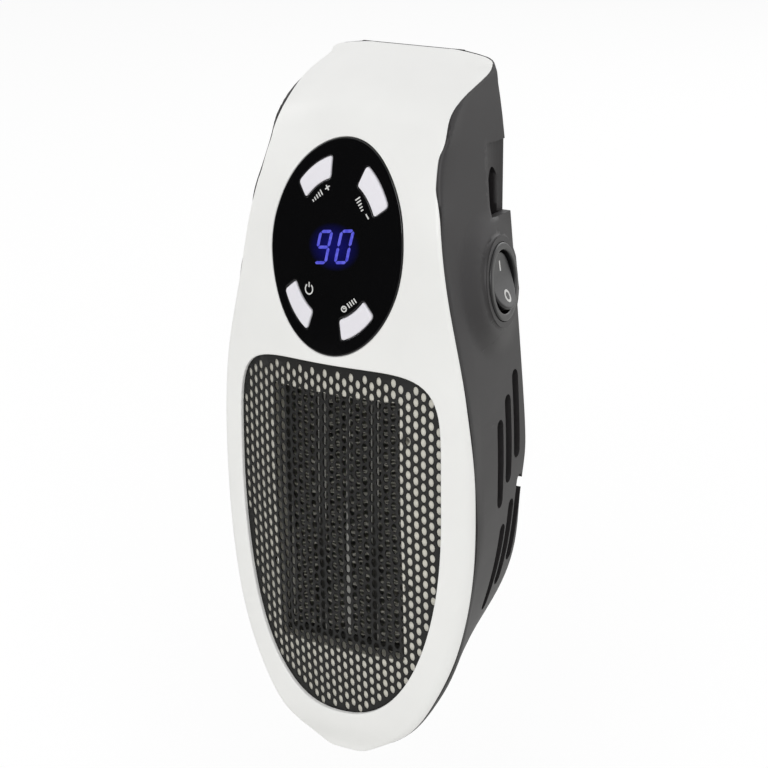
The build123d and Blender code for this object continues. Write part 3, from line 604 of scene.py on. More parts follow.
@dataclass(frozen=True)
class BodyForm:
    """Outer form of the body: level sections between stations up its height.

    Each section is a wide front arc, a corner arc tangent to it, and a straight side to the
    back. Between stations every size is a limited cubic along the square root of the height.
    """

    height: float = 188.0
    half_width: float = 38.0
    depth: float = 45.0
    front_radius: float = 94.0
    corner: float = 4.4
    tip: float = -140.0
    least_corner: float = 0.7
    slope_step: float = 0.752
    tiny: float = 1e-6
    stations: tuple[tuple[float, ...], ...] = (
        (0.000, 0.089, 0.807, 0.36, 0.750, 0.690, 0.051, 1.00),
        (0.016, 0.288, 0.827, 0.50, 0.765, 0.672, 0.203, 1.00),
        (0.048, 0.520, 0.881, 0.77, 0.785, 0.620, 0.365, 1.00),
        (0.106, 0.721, 0.908, 0.91, 0.778, 0.490, 0.542, 1.00),
        (0.191, 0.885, 0.936, 0.95, 0.752, 0.235, 0.738, 1.00),
        (0.298, 0.980, 0.958, 1.00, 0.741, 0.060, 0.883, 1.00),
        (0.426, 1.000, 0.985, 0.95, 0.757, 0.008, 0.917, 1.00),
        (0.559, 0.958, 0.990, 0.64, 0.806, -0.002, 0.876, 1.00),
        (0.691, 0.834, 0.954, 0.48, 0.819, -0.002, 0.814, 1.00),
        (0.798, 0.743, 0.899, 0.43, 0.789, -0.002, 0.760, 1.00),
        (0.894, 0.680, 0.743, 0.43, 0.656, -0.002, 0.709, 0.98),
        (0.957, 0.650, 0.520, 0.41, 0.348, -0.002, 0.661, 0.49),
        (0.980, 0.642, 0.342, 0.30, 0.045, -0.002, 0.642, 0.31),
        (0.993, 0.584, 0.147, 0.18, 0.012, -0.002, 0.579, 0.55),
        (1.000, 0.382, 0.067, 0.18, 0.012, -0.002, 0.374, 0.85),
    )

    @property
    def top(self) -> float:
        """Height of the top edge."""
        return self.tip + self.height

    def share(self, size: Size, z: Array) -> Array:
        """Share that the body has of one of its sizes at heights.

        Args:
            size: which size.
            z: heights.
        Returns:
            The shares, from a cubic between stations along the square root of the height.
        """
        table = np.array(self.stations)
        spots = np.sqrt(table[:, 0])
        values = table[:, size]
        steps = np.diff(spots)
        slopes = np.diff(values) / steps
        below, above = slopes[:-1], slopes[1:]
        blend = (below * steps[1:] + above * steps[:-1]) / (steps[1:] + steps[:-1])
        limit = 3 * np.minimum(np.abs(below), np.abs(above))
        inner = np.where(below * above <= 0, 0, np.clip(blend, -limit, limit))
        tangents = np.concatenate([slopes[:1], inner, slopes[-1:]])
        spot = np.sqrt(np.clip((np.asarray(z, float) - self.tip) / self.height, 0, 1))
        low = np.clip(np.searchsorted(spots, spot, side="right") - 1, 0, len(spots) - 2)
        span = steps[low]
        u = (spot - spots[low]) / span
        rise = u * u * (3 - 2 * u)
        start = tangents[low] * span * u * (1 - u) ** 2
        end = tangents[low + 1] * span * u * u * (u - 1)
        return values[low] * (1 - rise) + values[low + 1] * rise + start + end

    def seam(self, z: Array) -> Array:
        """Depth of the seam between the shells at heights."""
        return self.depth * self.share(Size.SEAM, z)

    def walled(self, size: Size, full: float, z: Array, inset: Number) -> Array:
        """One size at heights, less the sideways step that crosses a sloping wall.

        Args:
            size: which size.
            full: the size at a share of one.
            z: heights.
            inset: the wall's thickness.
        Returns:
            The sizes.
        """
        step = self.slope_step
        rise = full * (self.share(size, z + step) - self.share(size, z - step)) / (2 * step)
        return full * self.share(size, z) - inset * np.hypot(1, rise)

    def outline(self, z: Array, inset: Number) -> Outline:
        """Level sections at heights, drawn in by an inset."""
        z = np.asarray(z, float)
        side = self.walled(Size.WIDTH, self.half_width, z, inset)
        front = self.walled(Size.DEPTH, self.depth, z, inset)
        back = self.walled(Size.BACK, self.depth, z, -inset)
        back_side = self.walled(Size.BACK_WIDTH, self.half_width, z, inset)
        radius = np.maximum(self.corner * self.share(Size.CORNER, z) - inset, self.least_corner)
        arc = self.front_radius * self.share(Size.ARC, z) - inset
        centre_side = side - radius
        centre_depth = front - arc + np.sqrt((arc - radius) ** 2 - centre_side**2)
        turn = np.arctan2(centre_side, centre_depth - (front - arc))
        reach = np.hypot(back_side - centre_side, back - centre_depth)
        heading = np.arctan2(back_side - centre_side, back - centre_depth) % (2 * np.pi)
        end = heading - np.arccos(np.clip(radius / reach, -1, 1))
        return Outline(front, back, back_side, radius, arc, centre_side, centre_depth, turn, end)

    def front_depth(self, x: Array, z: Array, inset: Number = 0.0) -> Array:
        """Depth of the front at points: the front arc, or past it the corner arc."""
        line = self.outline(z, inset)
        across = np.abs(x)
        beyond = np.clip(across - line.centre_side, 0, line.radius)
        corner = line.centre_depth + np.sqrt(np.maximum(line.radius**2 - beyond**2, 0))
        return np.where(across <= line.turn_side, line.arc_depth(across), corner)

    def on_front(self, plan: Array, inset: Number = 0.0) -> Array:
        """Carry flat points (side, height) onto the front."""
        x, z = plan[..., 0], plan[..., 1]
        return points_of(x, -self.front_depth(x, z, inset), z)

    def around(self, s: Array, z: Array, inset: Number) -> Array:
        """Points on the section outline at a distance from the middle of the front.

        Args:
            s: sideways distance on the front arc, and then the length along corner and side;
                negative on the left.
            z: heights.
            inset: how far the outline is drawn in.
        Returns:
            The points.
        """
        line = self.outline(z, inset)
        far = np.abs(s)
        past = far - line.turn_side
        angle = line.turn + np.clip(past / line.radius, 0, line.end - line.turn)
        corner_x, corner_y = line.corner(angle)
        length = np.hypot(line.back_side - corner_x, line.back - corner_y)
        along = np.clip((past - line.corner_length) / np.maximum(length, self.tiny), 0, 1)
        x = np.where(past <= 0, far, corner_x + along * (line.back_side - corner_x))
        y = np.where(past <= 0, line.arc_depth(far), corner_y + along * (line.back - corner_y))
        return points_of(np.sign(s) * x, -y, z)

    def side_at(self, depth: Array, z: Array) -> Array:
        """Half width of the body at depths and heights."""
        level, height = np.asarray(depth, float), np.asarray(z, float)
        return self.around(self.distance_at(level, height, 0.0), height, 0.0)[..., 0]

    def distance_at(self, depth: Array, z: Array, inset: Number) -> Array:
        """Distance along the outline, as in around, at which it reaches a depth."""
        line = self.outline(z, inset)
        end_x, end_y = line.corner(line.end)
        lift = np.clip((depth - line.centre_depth) / line.radius, -1, 1)
        corner = line.turn_side + line.radius * (np.arccos(lift) - line.turn)
        length = np.hypot(line.back_side - end_x, line.back - end_y)
        share = (end_y - depth) / np.maximum(end_y - line.back, self.tiny)
        side = line.turn_side + line.corner_length + share * length
        return np.where(depth >= end_y, corner, side)


# The finer form that the pieces have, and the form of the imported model
FORM = BodyForm()
MODEL_FORM = BodyForm(
    half_width=38.5,
    corner=8.4,
    stations=(
        (0.000, 0.090, 0.810, 0.20, 0.680, 0.690, 0.050, 1.00),
        (0.016, 0.320, 0.848, 0.36, 0.690, 0.672, 0.200, 1.00),
        (0.048, 0.509, 0.887, 0.56, 0.700, 0.620, 0.360, 1.00),
        (0.106, 0.710, 0.925, 0.72, 0.715, 0.490, 0.535, 1.00),
        (0.191, 0.873, 0.949, 0.76, 0.730, 0.235, 0.728, 1.00),
        (0.298, 0.966, 0.976, 0.84, 0.740, 0.060, 0.872, 1.00),
        (0.426, 1.000, 0.996, 1.00, 0.758, 0.008, 0.905, 1.00),
        (0.559, 0.995, 0.978, 0.95, 0.796, -0.002, 0.865, 1.00),
        (0.691, 0.914, 0.938, 0.86, 0.818, -0.002, 0.803, 1.00),
        (0.798, 0.813, 0.880, 0.80, 0.785, -0.002, 0.750, 1.00),
        (0.894, 0.748, 0.693, 0.71, 0.620, -0.002, 0.700, 1.00),
        (0.957, 0.680, 0.387, 0.50, 0.280, -0.002, 0.652, 1.00),
        (1.000, 0.618, 0.100, 0.09, 0.012, -0.002, 0.615, 1.00),
    ),
)


@dataclass(frozen=True)
class Opening:
    """Outline of the grille opening: squarer at the top than at the bottom."""

    half_width: float = 30.3
    middle: float = -60.0
    rise: float = 31.9
    drop: float = 67.3
    rise_power: float = 5.2
    drop_power: float = 2.37
    points: int = 160

    def loop(self, grow: float) -> Array:
        """Points of the outline, grown outwards: a squared oval in two halves."""
        angle = 2 * np.pi * (np.arange(self.points) + 0.5) / self.points
        above = np.sin(angle) > 0
        power = np.where(above, self.rise_power, self.drop_power)
        reach = np.where(above, self.rise + grow, -self.drop - grow)
        side = np.abs(np.cos(angle)) ** (2 / power) * np.sign(np.cos(angle))
        rise = np.abs(np.sin(angle)) ** (2 / power) * reach
        return even_loop(points_of((self.half_width + grow) * side, self.middle + rise))

    def holds(self, x: Array, z: Array, side_edge: float, top_edge: float) -> Array:
        """Whether points lie inside the outline, clear of its sides and its top by margins."""
        rise = z - self.middle
        above = rise > 0
        power = np.where(above, self.rise_power, self.drop_power)
        reach = np.where(above, self.rise - top_edge, self.drop - side_edge)
        width = self.half_width - side_edge
        return (np.abs(x) / width) ** power + (np.abs(rise) / reach) ** power < 1


@dataclass(frozen=True)
class FinerForm:
    """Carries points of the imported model's skins onto the finer form that the pieces have.

    Sideways, a point keeps its share of the half width; backwards, its share of the seam's
    depth; forwards, its distance behind the front. Only points near a skin move, and none
    round the side switch. The lap stays under the front shell's wall.
    """

    near_side: float = 0.62
    side_band: float = 0.25
    near_front: float = 4.0
    front_band: float = 6.0
    switch: Pair = (11.2, -9.3)
    switch_reach: float = 12.4
    switch_band: float = 8.0
    shell_wall: float = 2.0
    least_seam: float = 0.4
    ratio_limits: Pair = (0.05, 2.0)

    def on_side(self, points: Array) -> Array:
        """Carry points near the sides."""
        x, f, z = points[:, 0], -points[:, 1], points[:, 2]
        across = np.abs(x)
        seam = np.maximum(MODEL_FORM.seam(z), self.least_seam)
        old = MODEL_FORM.side_at(np.clip(f, 0, seam), z)
        ratio = np.clip(FORM.seam(z) / seam, *self.ratio_limits)
        skin = eased((across / old - self.near_side) / self.side_band)
        away = np.hypot(f - self.switch[0], z - self.switch[1])
        clear = eased((away - self.switch_reach) / self.switch_band)
        skin = skin * np.where(x > 0, clear, 1.0)
        depth = f + (ratio - 1) * np.maximum(f, 0) * skin
        new = FORM.side_at(np.clip(depth, 0, FORM.seam(z)), z)
        side = across + (across * new / old - across) * skin
        under = np.maximum(FORM.seam(z), FORM.front_depth(side, z) - self.shell_wall)
        depth = np.where(skin > 0, np.minimum(depth, under), depth)
        return points_of(np.sign(x) * side, -depth, z)

    def on_front(self, points: Array) -> Array:
        """Carry points near the front."""
        x, f, z = points[:, 0], -points[:, 1], points[:, 2]
        old = MODEL_FORM.front_depth(x, z)
        behind = old - f
        skin = eased(1 - (behind - self.near_front) / self.front_band)
        return points_of(x, -f - (FORM.front_depth(x, z) - old) * skin, z)


def even_loop(points: Array, count: int = 0) -> Array:
    """Space the points of a closed loop evenly along it, as many as before or a count."""
    closed = np.concatenate([points, points[:1]])
    steps = np.hypot(*np.diff(closed, axis=0).T)
    length = np.concatenate([[0], np.cumsum(steps)])
    spots = np.linspace(0, length[-1], count or len(points), endpoint=False)
    return points_of(*(np.interp(spots, length, closed[:, k]) for k in (0, 1)))


@dataclass(frozen=True)
class Oval:
    """Upright oval on the front: its middle and half sizes."""

    x: float
    z: float
    half_width: float
    half_height: float

    def at(self, share: Number, angle: Number) -> Array:
        """Flat points at shares of the oval and angles in radians."""
        side = self.x + self.half_width * share * np.cos(angle)
        return points_of(side, self.z + self.half_height * share * np.sin(angle))

    def loop(self, grow: float, points: int) -> Array:
        """Points of the outline, grown outwards."""
        half_width, half_height = self.half_width + grow, self.half_height + grow
        return Oval(self.x, self.z, half_width, half_height).at(1.0, full_turn(points))


# Panel opening in the shell, and the ledge that its lens lies on
PANEL = Oval(0.0, 1.8, 19.4, 27.5)
PANEL_LEDGE = 1.2


def inside(points: Array, loop: Array) -> Array:
    """Whether flat points lie inside a closed loop, by counting the edges to one side."""
    x, z = points[:, 0:1], points[:, 1:2]
    x0, z0 = loop[:, 0], loop[:, 1]
    x1, z1 = np.roll(x0, -1), np.roll(z0, -1)
    crosses = (z0 > z) != (z1 > z)
    safe = np.where(z1 == z0, 1, z1 - z0)
    reach = x0 + (z - z0) / safe * (x1 - x0)
    return (crosses & (x < reach)).sum(axis=1) % 2 == 1


def web(
    outer: Array, holes: list[Array], fill: Array, convex: bool
) -> tuple[Array, Array]:
    """Triangles between an outer loop and its holes.

    Args:
        outer: points of the outer loop.
        holes: points of each hole.
        fill: free points, which are kept where they are clear of the loops.
        convex: whether every hole is convex, so that a triangle on one loop lies in it.
    Returns:
        Points, with the loops' points first and in order, and triangles.
    """
    loops = [outer, *holes]
    sizes = [len(loop) for loop in loops]
    starts = np.cumsum([0, *sizes])
    fixed = np.concatenate(loops)
    number = np.arange(len(fixed))
    after = number + 1
    after[starts[1:] - 1] = starts[:-1]
    owner = np.repeat(np.arange(len(loops)), sizes)
    if len(fill):
        clear = inside(fill, outer)
        for hole in holes:
            clear &= ~inside(fill, hole)
        fill = fill[clear]
    points = np.concatenate([fixed, fill]) if len(fill) else fixed
    found = delaunay_2d_cdt(
        [tuple(p) for p in points.tolist()],
        np.stack([number, after], axis=-1).tolist(),
        [],
        0,
        1e-7,
        True,
    )
    source = np.array([ids[0] for ids in found[3]])
    triangles = source[np.array(found[2])]
    middle = points[triangles].mean(axis=1)
    keep = inside(middle, outer)
    if convex:
        owners = np.concatenate([owner, np.full(len(points) - len(fixed), -1)])[triangles]
        same = (owners[:, 0] == owners[:, 1]) & (owners[:, 1] == owners[:, 2])
        keep &= ~(same & (owners[:, 0] > 0))
    else:
        for hole in holes:
            keep &= ~inside(middle, hole)
    return points, triangles[keep]


def lattice(low: Array, high: Array, step: float) -> Array:
    """Free points on a staggered square lattice."""
    x = np.arange(low[0], high[0], step)
    z = np.arange(low[1], high[1], step * 0.87)
    grid_x, grid_z = np.meshgrid(x, z)
    grid_x = grid_x + (np.arange(len(z)) % 2)[:, None] * step / 2
    return np.stack([grid_x.ravel(), grid_z.ravel()], axis=-1)


def clear_of(points: Array, loops: list[Array], gap: float) -> Array:
    """Keep the points that are farther than a gap from every loop's points."""
    keep = np.ones(len(points), bool)
    for loop in loops:
        apart = np.hypot(
            points[:, None, 0] - loop[None, :, 0], points[:, None, 1] - loop[None, :, 1]
        )
        keep &= apart.min(axis=1) > gap
    return points[keep]


@dataclass(frozen=True)
class FrontPlate:
    """A plate let into the front: flat outlines carried onto the curved form.

    Each edge profile lists (grow, inset) pairs from the face to the back.
    """

    outer: Loop
    holes: tuple[Loop, ...]
    outer_edge: tuple[Pair, ...]
    hole_edge: tuple[Pair, ...]
    convex: bool = True
    step: float = 2.0

    def shape(self) -> Shape:
        """Face, back and edges of the plate."""
        shape = Shape()
        for end in (0, -1):
            outer = self.outer(self.outer_edge[end][0])
            holes = [hole(self.hole_edge[end][0]) for hole in self.holes]
            fill = np.zeros((0, 2))
            if self.step:
                fill = lattice(outer.min(axis=0), outer.max(axis=0), self.step)
                fill = clear_of(fill, [outer, *holes], self.step * 0.45)
            points, triangles = web(outer, holes, fill, self.convex)
            inset = self.outer_edge[end][1]
            start = shape.add_points(FORM.on_front(points, inset))
            shape.add_faces(triangles if end == 0 else triangles[:, ::-1], start)
        for loop, edge in [(self.outer, self.outer_edge)] + [
            (hole, self.hole_edge) for hole in self.holes
        ]:
            rings = [FORM.on_front(loop(grow), inset) for grow, inset in edge]
            shape.grid(np.stack(rings), wrap=True)
        return shape


def rolled(radius: float, outwards: bool, inset: float = 0.0) -> list[Pair]:
    """Quarter-round edge as (grow, inset) pairs: it starts one radius back from the outline."""
    angle = np.radians([0, 30, 60, 90])
    sign = -1 if outwards else 1
    grow = sign * radius * (1 - np.sin(angle))
    return [(float(g), float(inset + radius * (1 - np.cos(a)))) for g, a in zip(grow, angle)]


@dataclass(frozen=True)
class FrontShell:
    """White front shell: one moulded skin with two openings and a rolled edge at the seam."""

    opening: Opening = Opening()
    panel_points: int = 120
    wall: float = 2.0
    rest: float = 2.0
    border: float = 1.5
    edge_roll: float = 0.45
    seam_roll: float = 0.5
    end_roll: float = 0.5
    rows: int = 150
    front_columns: int = 20
    side_columns: int = 16
    clearance: float = 0.32
    least_flank: float = 0.05
    low_rise: float = 6.0
    top_drop: float = 6.0
    end_reach: float = 15.0

    def panel_loop(self, grow: float) -> Array:
        """Outline of the panel opening."""
        return PANEL.loop(grow, self.panel_points)

    def levels(self) -> tuple[Array, Array]:
        """Heights and insets of the rows: crowded at both ends, and rolled in at the last."""
        turn = np.linspace(0, np.pi, self.rows)
        low, high = FORM.tip + self.end_roll, FORM.top - self.end_roll
        middle = low + (high - low) * (1 - np.cos(turn)) / 2
        angle = np.radians([90, 60, 30])
        step = self.end_roll * np.sin(angle)
        inset = self.end_roll * (1 - np.cos(angle))
        heights = np.concatenate([low - step, middle, (high + step)[::-1]])
        insets = np.concatenate([inset, np.zeros(self.rows), inset[::-1]])
        return heights, insets

    def row_of(self, z: Array) -> Array:
        """Row number, as a fraction, of heights on the main rows, which follow three others."""
        low, high = FORM.tip + self.end_roll, FORM.top - self.end_roll
        turn = np.arccos(np.clip(1 - 2 * (z - low) / (high - low), -1, 1))
        return 3 + turn / np.pi * (self.rows - 1)

    def inner_height(self, z: Array) -> Array:
        """Height on the inner skin that goes with a height on the outer one."""
        low = FORM.tip + self.low_rise
        near = FORM.tip + self.end_reach
        share = (z - FORM.tip) / (near - FORM.tip)
        z = np.where(z < near, low + share * (near - low), z)
        high = FORM.top - self.top_drop
        from_top = FORM.top - self.end_reach
        share = (z - from_top) / (FORM.top - from_top)
        return np.where(z > from_top, from_top + share * (high - from_top), z)

    def seat(self, z: Array, inset: Array, back: float) -> tuple[Array, Array]:
        """Distances at which the front arc ends and at which the skin stops at the seam."""
        turn = FORM.outline(z, inset).turn_side
        stop = FORM.distance_at(FORM.seam(z) + back, z, inset)
        return turn, np.maximum(stop, turn + self.least_flank)

    def skin(
        self, shape: Shape, z: Array, inset: Array, back: float, loops: list[Array]
    ) -> Array:
        """Add one skin with its two openings.

        The flat plane that is triangulated counts columns sideways and rows upwards, so each
        quad of the skin is a unit square there, and an opening's points are carried into it.

        Args:
            shape: what the skin is added to.
            z: heights of the rows.
            inset: insets of the rows.
            back: how far in front of the seam the skin stops.
            loops: flat outlines of the openings.
        Returns:
            The skin's rim: up the left column and down the right one.
        """
        turn, stop = self.seat(z, inset, back)
        ahead = np.arange(self.front_columns + 1) / self.front_columns
        aside = (np.arange(self.side_columns) + 1) / self.side_columns
        half = np.concatenate(
            [turn[:, None] * ahead, turn[:, None] + (stop - turn)[:, None] * aside], axis=1
        )
        s = np.concatenate([-half[:, :0:-1], half], axis=1)
        rows, columns = s.shape
        spots = FORM.around(s, np.broadcast_to(z[:, None], s.shape), inset[:, None])
        middle = (columns - 1) // 2
        flat_u, flat_w = np.meshgrid(np.arange(1 - middle, middle), np.arange(1, rows - 1))
        fill = points_of(flat_u, flat_w).reshape(-1, 2)
        carried = []
        for loop in loops:
            u = loop[:, 0] / np.interp(loop[:, 1], z, turn) * self.front_columns
            carried.append(points_of(u, self.row_of(loop[:, 1])))
        outer = np.concatenate(
            [
                points_of(-middle, np.arange(rows)),
                points_of(np.arange(1 - middle, middle), rows - 1),
                points_of(middle, np.arange(rows)[::-1]),
                points_of(np.arange(middle - 1, -middle, -1), 0),
            ]
        )
        fill = clear_of(fill, carried, self.clearance)
        points, triangles = web(outer, carried, fill, True)
        column = np.rint(points[:, 0] + middle).astype(int)
        row = np.rint(points[:, 1]).astype(int)
        place = spots[np.clip(row, 0, rows - 1), np.clip(column, 0, columns - 1)]
        first = len(outer)
        for loop in loops:
            level = np.interp(loop[:, 1], z, inset)
            place[first : first + len(loop)] = FORM.on_front(loop, level)
            first += len(loop)
        start = shape.add_points(place)
        shape.add_faces(triangles, start)
        shape.cap(spots[0])
        shape.cap(spots[-1])
        return np.concatenate([spots[:, 0], spots[::-1, -1]])

    def rim(self, z: Array, inset: Array, back: float) -> Array:
        """Points round the seam edge: up the left side and down the right one."""
        _, stop = self.seat(z, inset, back)
        right = FORM.around(stop, z, inset)
        left = right * np.array([-1, 1, 1])
        return np.concatenate([left, right[::-1]])

    def build(self) -> bpy.types.Object:
        """Build the shell."""
        shape = Shape()
        z, inset = self.levels()
        loops = [self.opening.loop(self.edge_roll), self.panel_loop(self.edge_roll)]
        rims = [self.skin(shape, z, inset, self.seam_roll, loops)]
        for grow, depth in rolled(self.seam_roll, False)[1:]:
            rims.append(self.rim(z, inset + depth, grow))
        deep = self.inner_height(z)
        wall = np.full_like(z, self.wall)
        inner_loops = [self.opening.loop(self.border), self.panel_loop(-self.rest)]
        inner = Shape()
        rims.append(self.skin(inner, deep, wall, 0.0, inner_loops))
        start = shape.add_points(np.concatenate(inner.points))
        for face_points in inner.faces:
            shape.faces.append([start + k for k in reversed(face_points)])
        shape.grid(np.stack(rims), wrap=True)
        edge = [*rolled(self.edge_roll, False), (0.0, PANEL_LEDGE)]
        for loop, width in ((self.opening.loop, self.border), (self.panel_loop, -self.rest)):
            side = [*edge, (width, PANEL_LEDGE), (width, self.wall)]
            rings = [FORM.on_front(loop(grow), depth) for grow, depth in side]
            shape.grid(np.stack(rings), wrap=True)
        return shape.piece(
            "front_shell_skin", WHITE_SHELL, Body.HOUSING, "white_shell", ("front_shell",)
        )


@dataclass(frozen=True)
class Grille:
    """Perforated grille: staggered upright ovals punched through a curved sheet."""

    opening: Opening = Opening()
    pitch_side: float = 1.95
    pitch_height: float = 3.05
    hole_half_width: float = 0.7
    hole_half_height: float = 1.2
    hole_points: int = 12
    side_edge: float = -0.1
    top_edge: float = 0.9
    tuck: float = 1.3
    face: float = 1.25
    back: float = 1.95
    soften: float = 0.13

    def holes(self) -> list[Loop]:
        """Outlines of the holes that clear the edge of the opening."""
        columns = int(self.opening.half_width / self.pitch_side) + 1
        rows = int(self.opening.drop / self.pitch_height) + 2
        i, j = np.meshgrid(np.arange(-columns, columns + 1), np.arange(-rows, rows + 1))
        x = i * self.pitch_side
        z = self.opening.middle + (j + (i % 2) / 2) * self.pitch_height
        fits = np.ones(x.shape, bool)
        for turn, lift in ((1, 0), (-1, 0), (0, 1), (0, -1)):
            fits &= self.opening.holds(
                x + turn * self.hole_half_width,
                z + lift * self.hole_half_height,
                self.side_edge,
                self.top_edge,
            )
        ovals = [
            Oval(cx, cz, self.hole_half_width, self.hole_half_height)
            for cx, cz in zip(x[fits].tolist(), z[fits].tolist())
        ]
        return [partial(oval.loop, points=self.hole_points) for oval in ovals]

    def build(self) -> bpy.types.Object:
        """Build the grille."""
        middle = (self.face + self.back) / 2
        plate = FrontPlate(
            outer=self.opening.loop,
            holes=tuple(self.holes()),
            outer_edge=((self.tuck, self.face), (self.tuck, self.back)),
            hole_edge=(
                (self.soften, self.face),
                (self.soften * 0.3, self.face + self.soften),
                (0.0, middle),
                (self.soften, self.back),
            ),
            step=0,
        )
        return plate.shape().piece(
            "grille_mesh", GRILLE_GREY, Body.HOUSING, "grille_grey", ("grille",), sharp=50
        )


@dataclass(frozen=True)
class Frame:
    """A place and three directions that small pieces are built in."""

    origin: Triple
    right: Triple
    up: Triple
    out: Triple

    def place(self, u: Array, v: Array, w: Number) -> Array:
        """Points at distances along right, up and out from the origin."""
        ways = np.array([self.right, self.up, self.out])
        return np.array(self.origin) + points_of(u, v, w) @ ways

    def turned(self, shape: Shape, profile: Array, count: int = 48) -> None:
        """Carry a profile round the out axis.

        Args:
            shape: what the turned form is added to.
            profile: rows of radius and height; a radius of nearly nothing closes the form.
            count: points round the axis.
        """
        angle = full_turn(count)
        radius, height = profile[:, :1], profile[:, 1:]
        rings = self.place(radius * np.cos(angle), radius * np.sin(angle), height)
        shape.grid(rings, wrap=True)


def facing_wall(x: float, z: float) -> Frame:
    """Frame on the wall's plane whose out direction points forwards."""
    return Frame((x, 0.0, z), (1.0, 0.0, 0.0), (0.0, 0.0, 1.0), (0.0, -1.0, 0.0))


@dataclass(frozen=True)
class KeySpot:
    """Place of one arc key: its middle angle on the panel's oval and the body it rides on."""

    body: Body
    angle: float


KEYS = (
    KeySpot(Body.WARMER, 120.5),
    KeySpot(Body.COOLER, 48.5),
    KeySpot(Body.POWER, 228.5),
    KeySpot(Body.TIMER, 300.5),
)


@dataclass(frozen=True)
class KeyPanel:
    """Black lens let into the shell, with four arc keys, two lit digits and printed marks."""

    gap: float = 0.1
    lens_points: int = 160
    share: float = 0.755
    reach: float = 17.7
    depth_reach: float = 23.4
    half_span: float = 5.41
    half_band: float = 2.34
    corner: float = 0.75
    least_corner: float = 0.2
    window: float = 0.25
    lens_roll: float = 0.2
    support: float = 0.15
    key_roll: float = 0.5
    proud: float = 0.3
    flange: float = 0.7
    flange_face: float = 2.3
    flange_back: float = 3.5
    stem: float = 1.6
    stem_chamfer: float = 0.2
    stem_overlap: float = 0.3
    points: int = 104

    def key_loop(self, angle: float, extra: float = 0.0) -> Loop:
        """Outline of a key or its window: a rounded box bent along the oval."""

        def loop(grow: float) -> Array:
            """Points of the outline, grown."""
            more = grow + extra
            box = rounded_box(
                self.half_span + more,
                self.half_band + more,
                max(self.corner + more, self.least_corner),
                self.points,
            )
            turn = np.radians(angle) + box[:, 0] / self.reach
            return PANEL.at(self.share - box[:, 1] / self.depth_reach, turn)[::-1]

        return loop

    def lens(self) -> None:
        """Build the lens with its windows."""

        def outer(grow: float) -> Array:
            """Outline of the lens, grown."""
            return PANEL.loop(grow - self.gap, self.lens_points)

        rim = self.lens_roll + self.support
        plate = FrontPlate(
            outer=outer,
            holes=tuple(self.key_loop(spot.angle, self.window) for spot in KEYS),
            outer_edge=((-rim, 0.0), *rolled(self.lens_roll, True), (0.0, PANEL_LEDGE)),
            hole_edge=((rim, 0.0), *rolled(self.lens_roll, False), (0.0, PANEL_LEDGE)),
            convex=False,
            step=1.3,
        )
        plate.shape().piece(
            "panel_lens_plate", PANEL_GLOSS, Body.HOUSING, "panel_black", ("panel_lens",)
        )

    def key(self, spot: KeySpot) -> None:
        """Build one key: a soft-edged cap, the flange behind the shell and the stem."""
        name = spot.body.value
        plate = FrontPlate(
            outer=self.key_loop(spot.angle),
            holes=(),
            outer_edge=(
                *rolled(self.key_roll, True, -self.proud),
                (0.0, self.flange_face),
                (self.flange, self.flange_face),
                (self.flange, self.flange_back),
            ),
            hole_edge=((0.0, 0.0), (0.0, 0.0)),
            step=1.1,
        )
        shape = plate.shape()
        x, z = PANEL.at(self.share, np.radians(spot.angle)).tolist()
        back = -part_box(name)[1][1] / MM
        front = float(FORM.front_depth(x, z, self.flange_back - self.stem_overlap))
        chamfer = self.stem_chamfer
        profile = [(CLOSED, back), (self.stem - chamfer, back), (self.stem, back + chamfer)]
        profile += [(self.stem, front), (CLOSED, front)]
        facing_wall(x, z).turned(shape, np.array(profile), 24)
        shape.piece(f"{name}_cap", KEY_WHITE, spot.body, "key_white", (name,))

    def build(self) -> None:
        """Build the lens, the keys and what is on the lens."""
        self.lens()
        for spot in KEYS:
            self.key(spot)
        Digits().build()
        Marks().build()


def rounded_box(half_long: float, half_wide: float, radius: float, count: int) -> Array:
    """Evenly spaced points of a box with round corners, against the clock from its right."""
    turn = np.radians(np.linspace(0, 90, 9))
    arcs = []
    for quarter, (a, b) in enumerate(((1, 1), (-1, 1), (-1, -1), (1, -1))):
        angle = turn + quarter * np.pi / 2
        side = a * (half_long - radius) + radius * np.cos(angle)
        arcs.append(points_of(side, b * (half_wide - radius) + radius * np.sin(angle)))
    return even_loop(np.concatenate(arcs), count)


def raised(shape: Shape, outline: Array, proud: float, sunk: float) -> None:
    """Add a thin raised patch of a convex flat outline on the front."""
    shape.prism(FORM.on_front(outline, -proud), FORM.on_front(outline, sunk))


